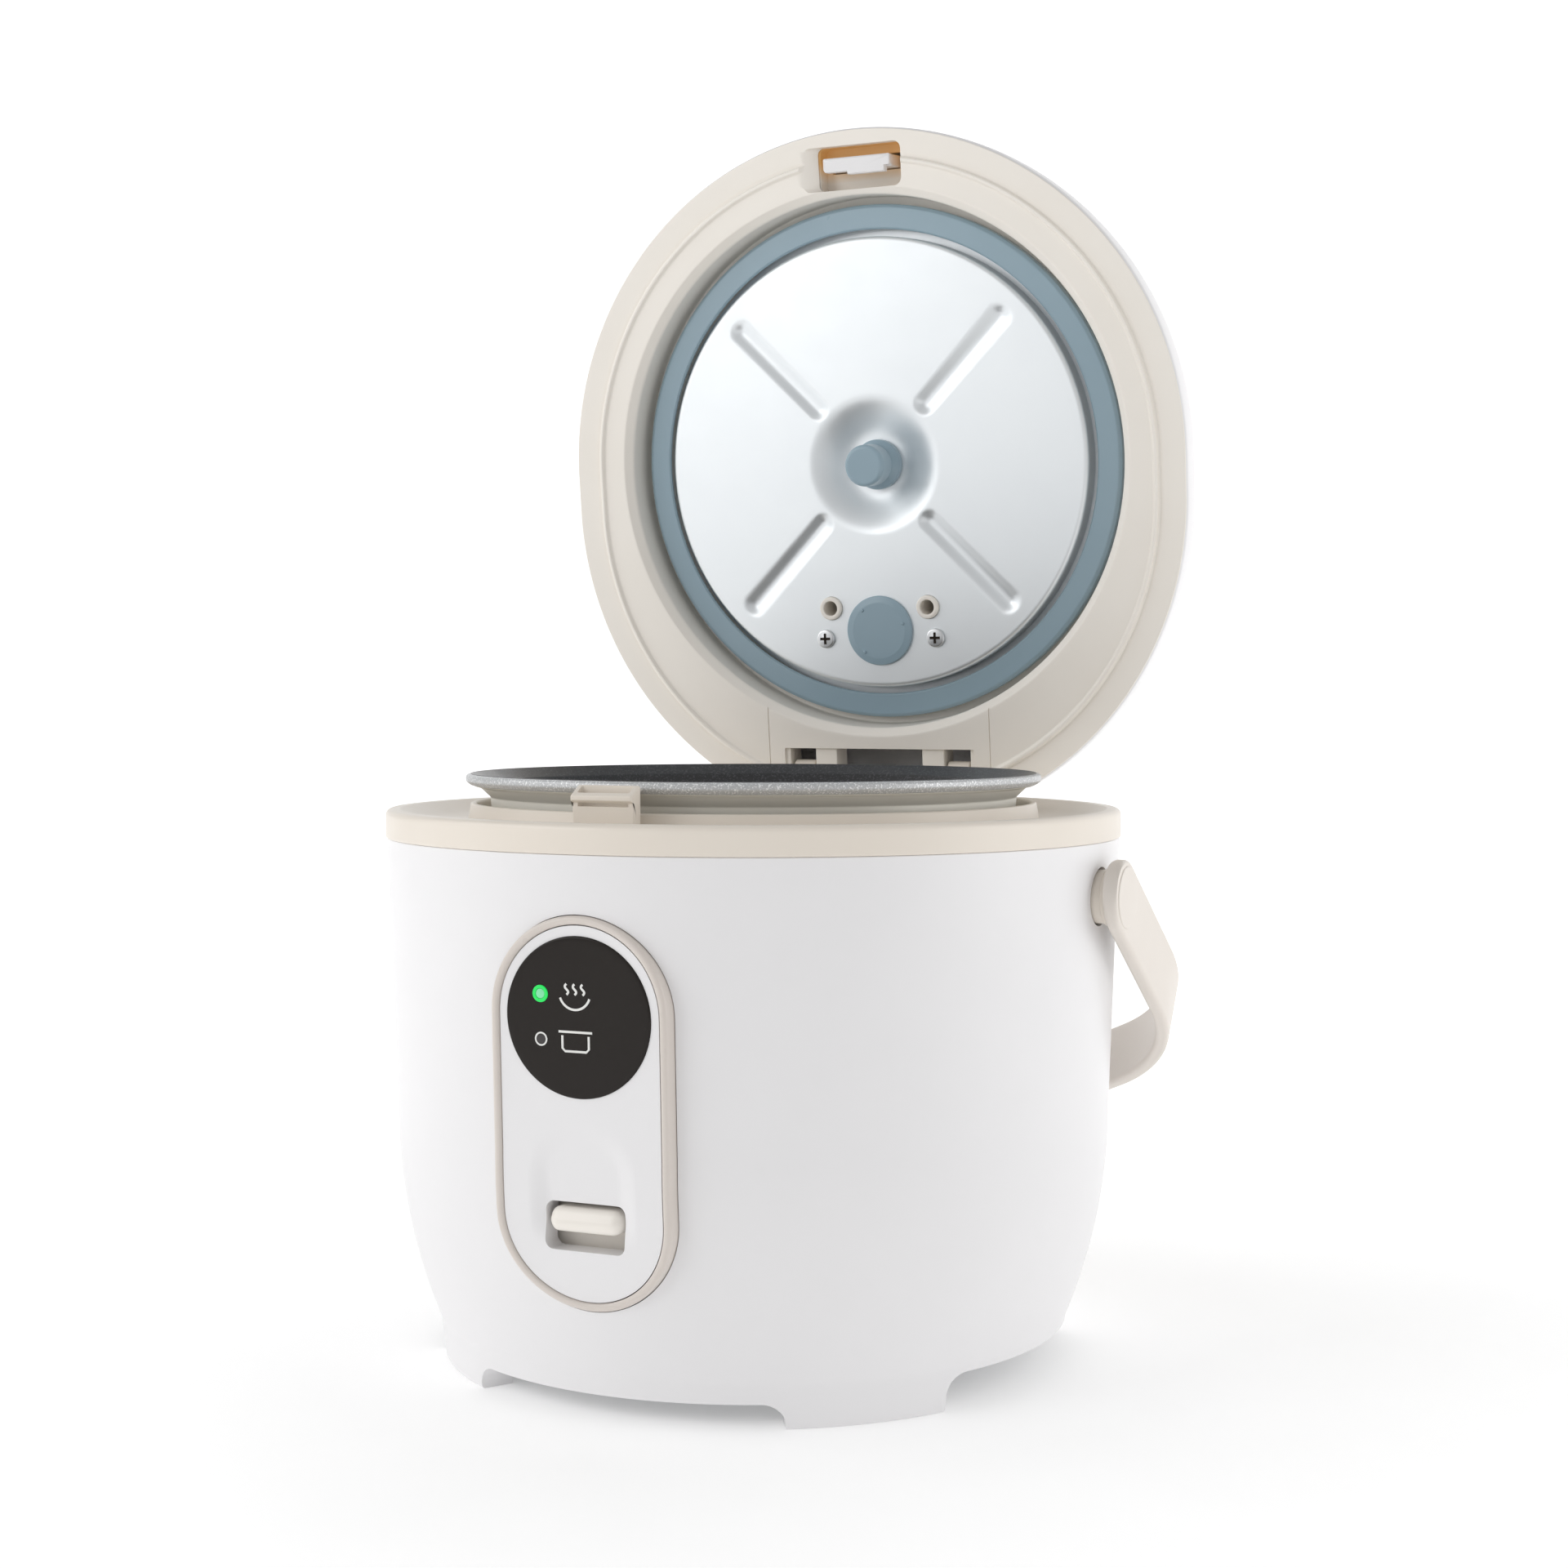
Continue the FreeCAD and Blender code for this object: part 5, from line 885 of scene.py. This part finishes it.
HOOK_FACE = 149.7
HOOK_PLAN = rounded([
    (-9.8, -91.4, 0.5), (11.6, -91.4, 0.5), (11.6, -88.2, 0.4), (9.9, -88.2, 0.2), (9.9, -86.3, 0.3),
    (-2.1, -86.3, 0.3), (-2.1, -87.2, 0.2), (-9.8, -87.2, 1.2)])
HOOK_EDGE = (HOOK_PLAN - HOOK_PLAN.mean(0)) * (0.968, 0.86) + HOOK_PLAN.mean(0)
HOOK_ARM = rounded([(-87.8, 151.6, 0.2), (-87.8, 164, 0.2), (-91.3, 164, 0.2), (-91.3, 151.6, 0.2)])
hook = piece("hook_bar", white_plastic, opened(bar(HOOK_ARM, 10.6, 0.4, 0.9)), opened(loft([
    (HOOK_EDGE, HOOK_FACE), (HOOK_PLAN, HOOK_FACE + 0.35), (HOOK_PLAN, 152.0)], True)))
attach(hook, "latch")
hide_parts("latch_hook")

# Parts inside and underneath
# Drawn, cast, stamped and moulded pieces that keep their built shapes; each gets its own material's finish.
# None of them shows in the photograph.

# Black phenolic and grey nylon are dull, the board is green glass epoxy, tinplate is bright and cloudy,
# cast aluminium is rough, and brass is warm.
dark_plastic = moulded("black_phenolic", "#2B2A2B", "#242324", 0.5, 0.4, 0.02)
grey_plastic = moulded("grey_nylon", "#A9ABAD", "#9C9EA0", 0.5, 0.5, 0.01)
board_resin = moulded("glass_epoxy_board", "#2F6B4A", "#285D40", 0.45, 0.6, 0.01)
tinplate = metal("tinned_sheet_steel", "#C4C6C8", "#AEB1B4", 0.3, 1.2, 0.01)
cast_aluminium = metal("cast_aluminium", "#A8AAAC", "#97999B", 0.55, 0.5, 0.03)
brass = metal("brass", "#C9A95A", "#B8974B", 0.3, 0.3, 0.004)
finishes = {
    zinc_steel: ("hinge_pin", "base_screws", "switch_lever", "lever_pin", "switch_bracket", "sensor_spring",
                 "plunger_spring", "plunger", "pivot_screws", "hinge_spring", "latch_pin", "latch_spring",
                 "plate_posts", "sensor_magnet"),
    tinplate: ("heat_can",),
    cast_aluminium: ("heating_plate",),
    satin_aluminium: ("sensor_cap", "thermostat_body"),
    dark_plastic: ("micro_switch", "power_inlet"),
    grey_plastic: ("base_cover", "thermal_fuse"),
    board_resin: ("lamp_board",),
    brass: ("inlet_pins",),
    cream_plastic: ("steam_vent", "release_button"),
}
for material, names in finishes.items():
    for name in names:
        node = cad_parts[name]
        node.data.materials.clear()
        node.data.materials.append(material)

# Stage
# Pale floor that curves up behind, soft lights from the left and the right, and a small one for the lid.
# The camera stands where the photograph was taken from. Lights and camera are placed in metres.

FLOOR_FRONT = -1500
FLOOR_BEND = 900
FLOOR_ROUND = 700
FLOOR_TOP = 1800
FLOOR_HALF = 2500
floor_line = np.vstack([
    [(FLOOR_FRONT, 0)], np.stack([np.linspace(FLOOR_FRONT + 100, FLOOR_BEND, 12), np.zeros(12)], -1),
    corner_arc((FLOOR_BEND, FLOOR_ROUND), FLOOR_ROUND, -90, 0, 16), [(FLOOR_BEND + FLOOR_ROUND, FLOOR_TOP)]])
across = np.linspace(-FLOOR_HALF, FLOOR_HALF, 12)[:, None]
floor_grid = np.stack([across + 0 * floor_line[:, 0], floor_line[:, 0] + 0 * across,
                       floor_line[:, 1] + 0 * across], -1)
# Matt paper with a painted glow that keeps it white far out; the glow is weaker near the object and towards
# the front, so the floor is darker there: no reflections.
paper = moulded("white_paper", "#FBFBFB", "#F8F8F8", 0.9, 2.0, 0.01)
paper_tree = paper.node_tree
paper_shader = paper_tree.nodes["Principled BSDF"]
paper_place = add(paper_tree, "ShaderNodeTexCoord", {}).outputs["Object"]
paper_far = add(paper_tree, "ShaderNodeVectorMath", {0: paper_place}, operation="LENGTH")
paper_glow = add(paper_tree, "ShaderNodeMapRange", {
    "Value": paper_far.outputs["Value"], "From Min": 0.12, "From Max": 0.45, "To Min": 0.22, "To Max": 0.48})
paper_spot = add(paper_tree, "ShaderNodeSeparateXYZ", {"Vector": paper_place})
paper_front = add(paper_tree, "ShaderNodeMapRange", {
    "Value": paper_spot.outputs["Y"], "From Min": -0.55, "From Max": -0.25, "To Min": 0.35, "To Max": 1.0})
paper_power = add(paper_tree, "ShaderNodeMath", {
    0: paper_glow.outputs["Result"], 1: paper_front.outputs["Result"]}, operation="MULTIPLY")
paper_tree.links.new(paper_power.outputs["Value"], paper_shader.inputs["Emission Strength"])
paper_shader.inputs["Emission Color"].default_value = (1, 1, 1, 1)
paper_shader.inputs["Specular IOR Level"].default_value = 0.0
floor = piece("paper_floor", paper, (floor_grid, False, False))

scene = bpy.context.scene
scene.view_settings.view_transform = "Standard"
scene.world = bpy.data.worlds.new("studio")
scene.world.use_nodes = True
sky = scene.world.node_tree.nodes["Background"]
sky.inputs["Color"].default_value = (1, 1, 1, 1)
sky.inputs["Strength"].default_value = 0.51


def facing(place, look):
    """The matrix of a lamp or camera that stands at a place and looks along a direction, its sides level."""
    look = look / np.linalg.norm(look)
    side = np.cross(look, (0, 0, 1))
    side = side / np.linalg.norm(side)
    turn = np.eye(4)
    turn[:3, :3] = np.stack([side, np.cross(side, look), -look], 1)
    turn[:3, 3] = place
    return Matrix(turn)


def soft_light(name, place, aim, size, power):
    """A square area light that faces a point."""
    lamp = bpy.data.lights.new(name, "AREA")
    lamp.size = size
    lamp.energy = power
    light = bpy.data.objects.new(name, lamp)
    bpy.context.collection.objects.link(light)
    light.matrix_world = facing(place, np.array(aim) - np.array(place))


soft_light("key", (-1.5, -0.65, 0.8), (0, 0, 0.15), 1.2, 6)
soft_light("fill", (1.6, 0.35, 0.4), (0, 0, 0.15), 1.0, 6)
soft_light("lid_light", (-0.45, -0.7, 0.42), (0, 0.09, 0.25), 0.35, 1.15)

YAW = np.radians(24.6)
PITCH = np.radians(2.12)
EYE = (0.2889, -0.6112, 0.1791)
LENS = 56.49
SENSOR = 36.0
lens_data = bpy.data.cameras.new("photo_camera")
lens_data.sensor_width = SENSOR
lens_data.lens = LENS
camera = bpy.data.objects.new("photo_camera", lens_data)
bpy.context.collection.objects.link(camera)
camera.matrix_world = facing(EYE, np.array([
    -np.sin(YAW) * np.cos(PITCH), np.cos(YAW) * np.cos(PITCH), -np.sin(PITCH)]))
scene.camera = camera
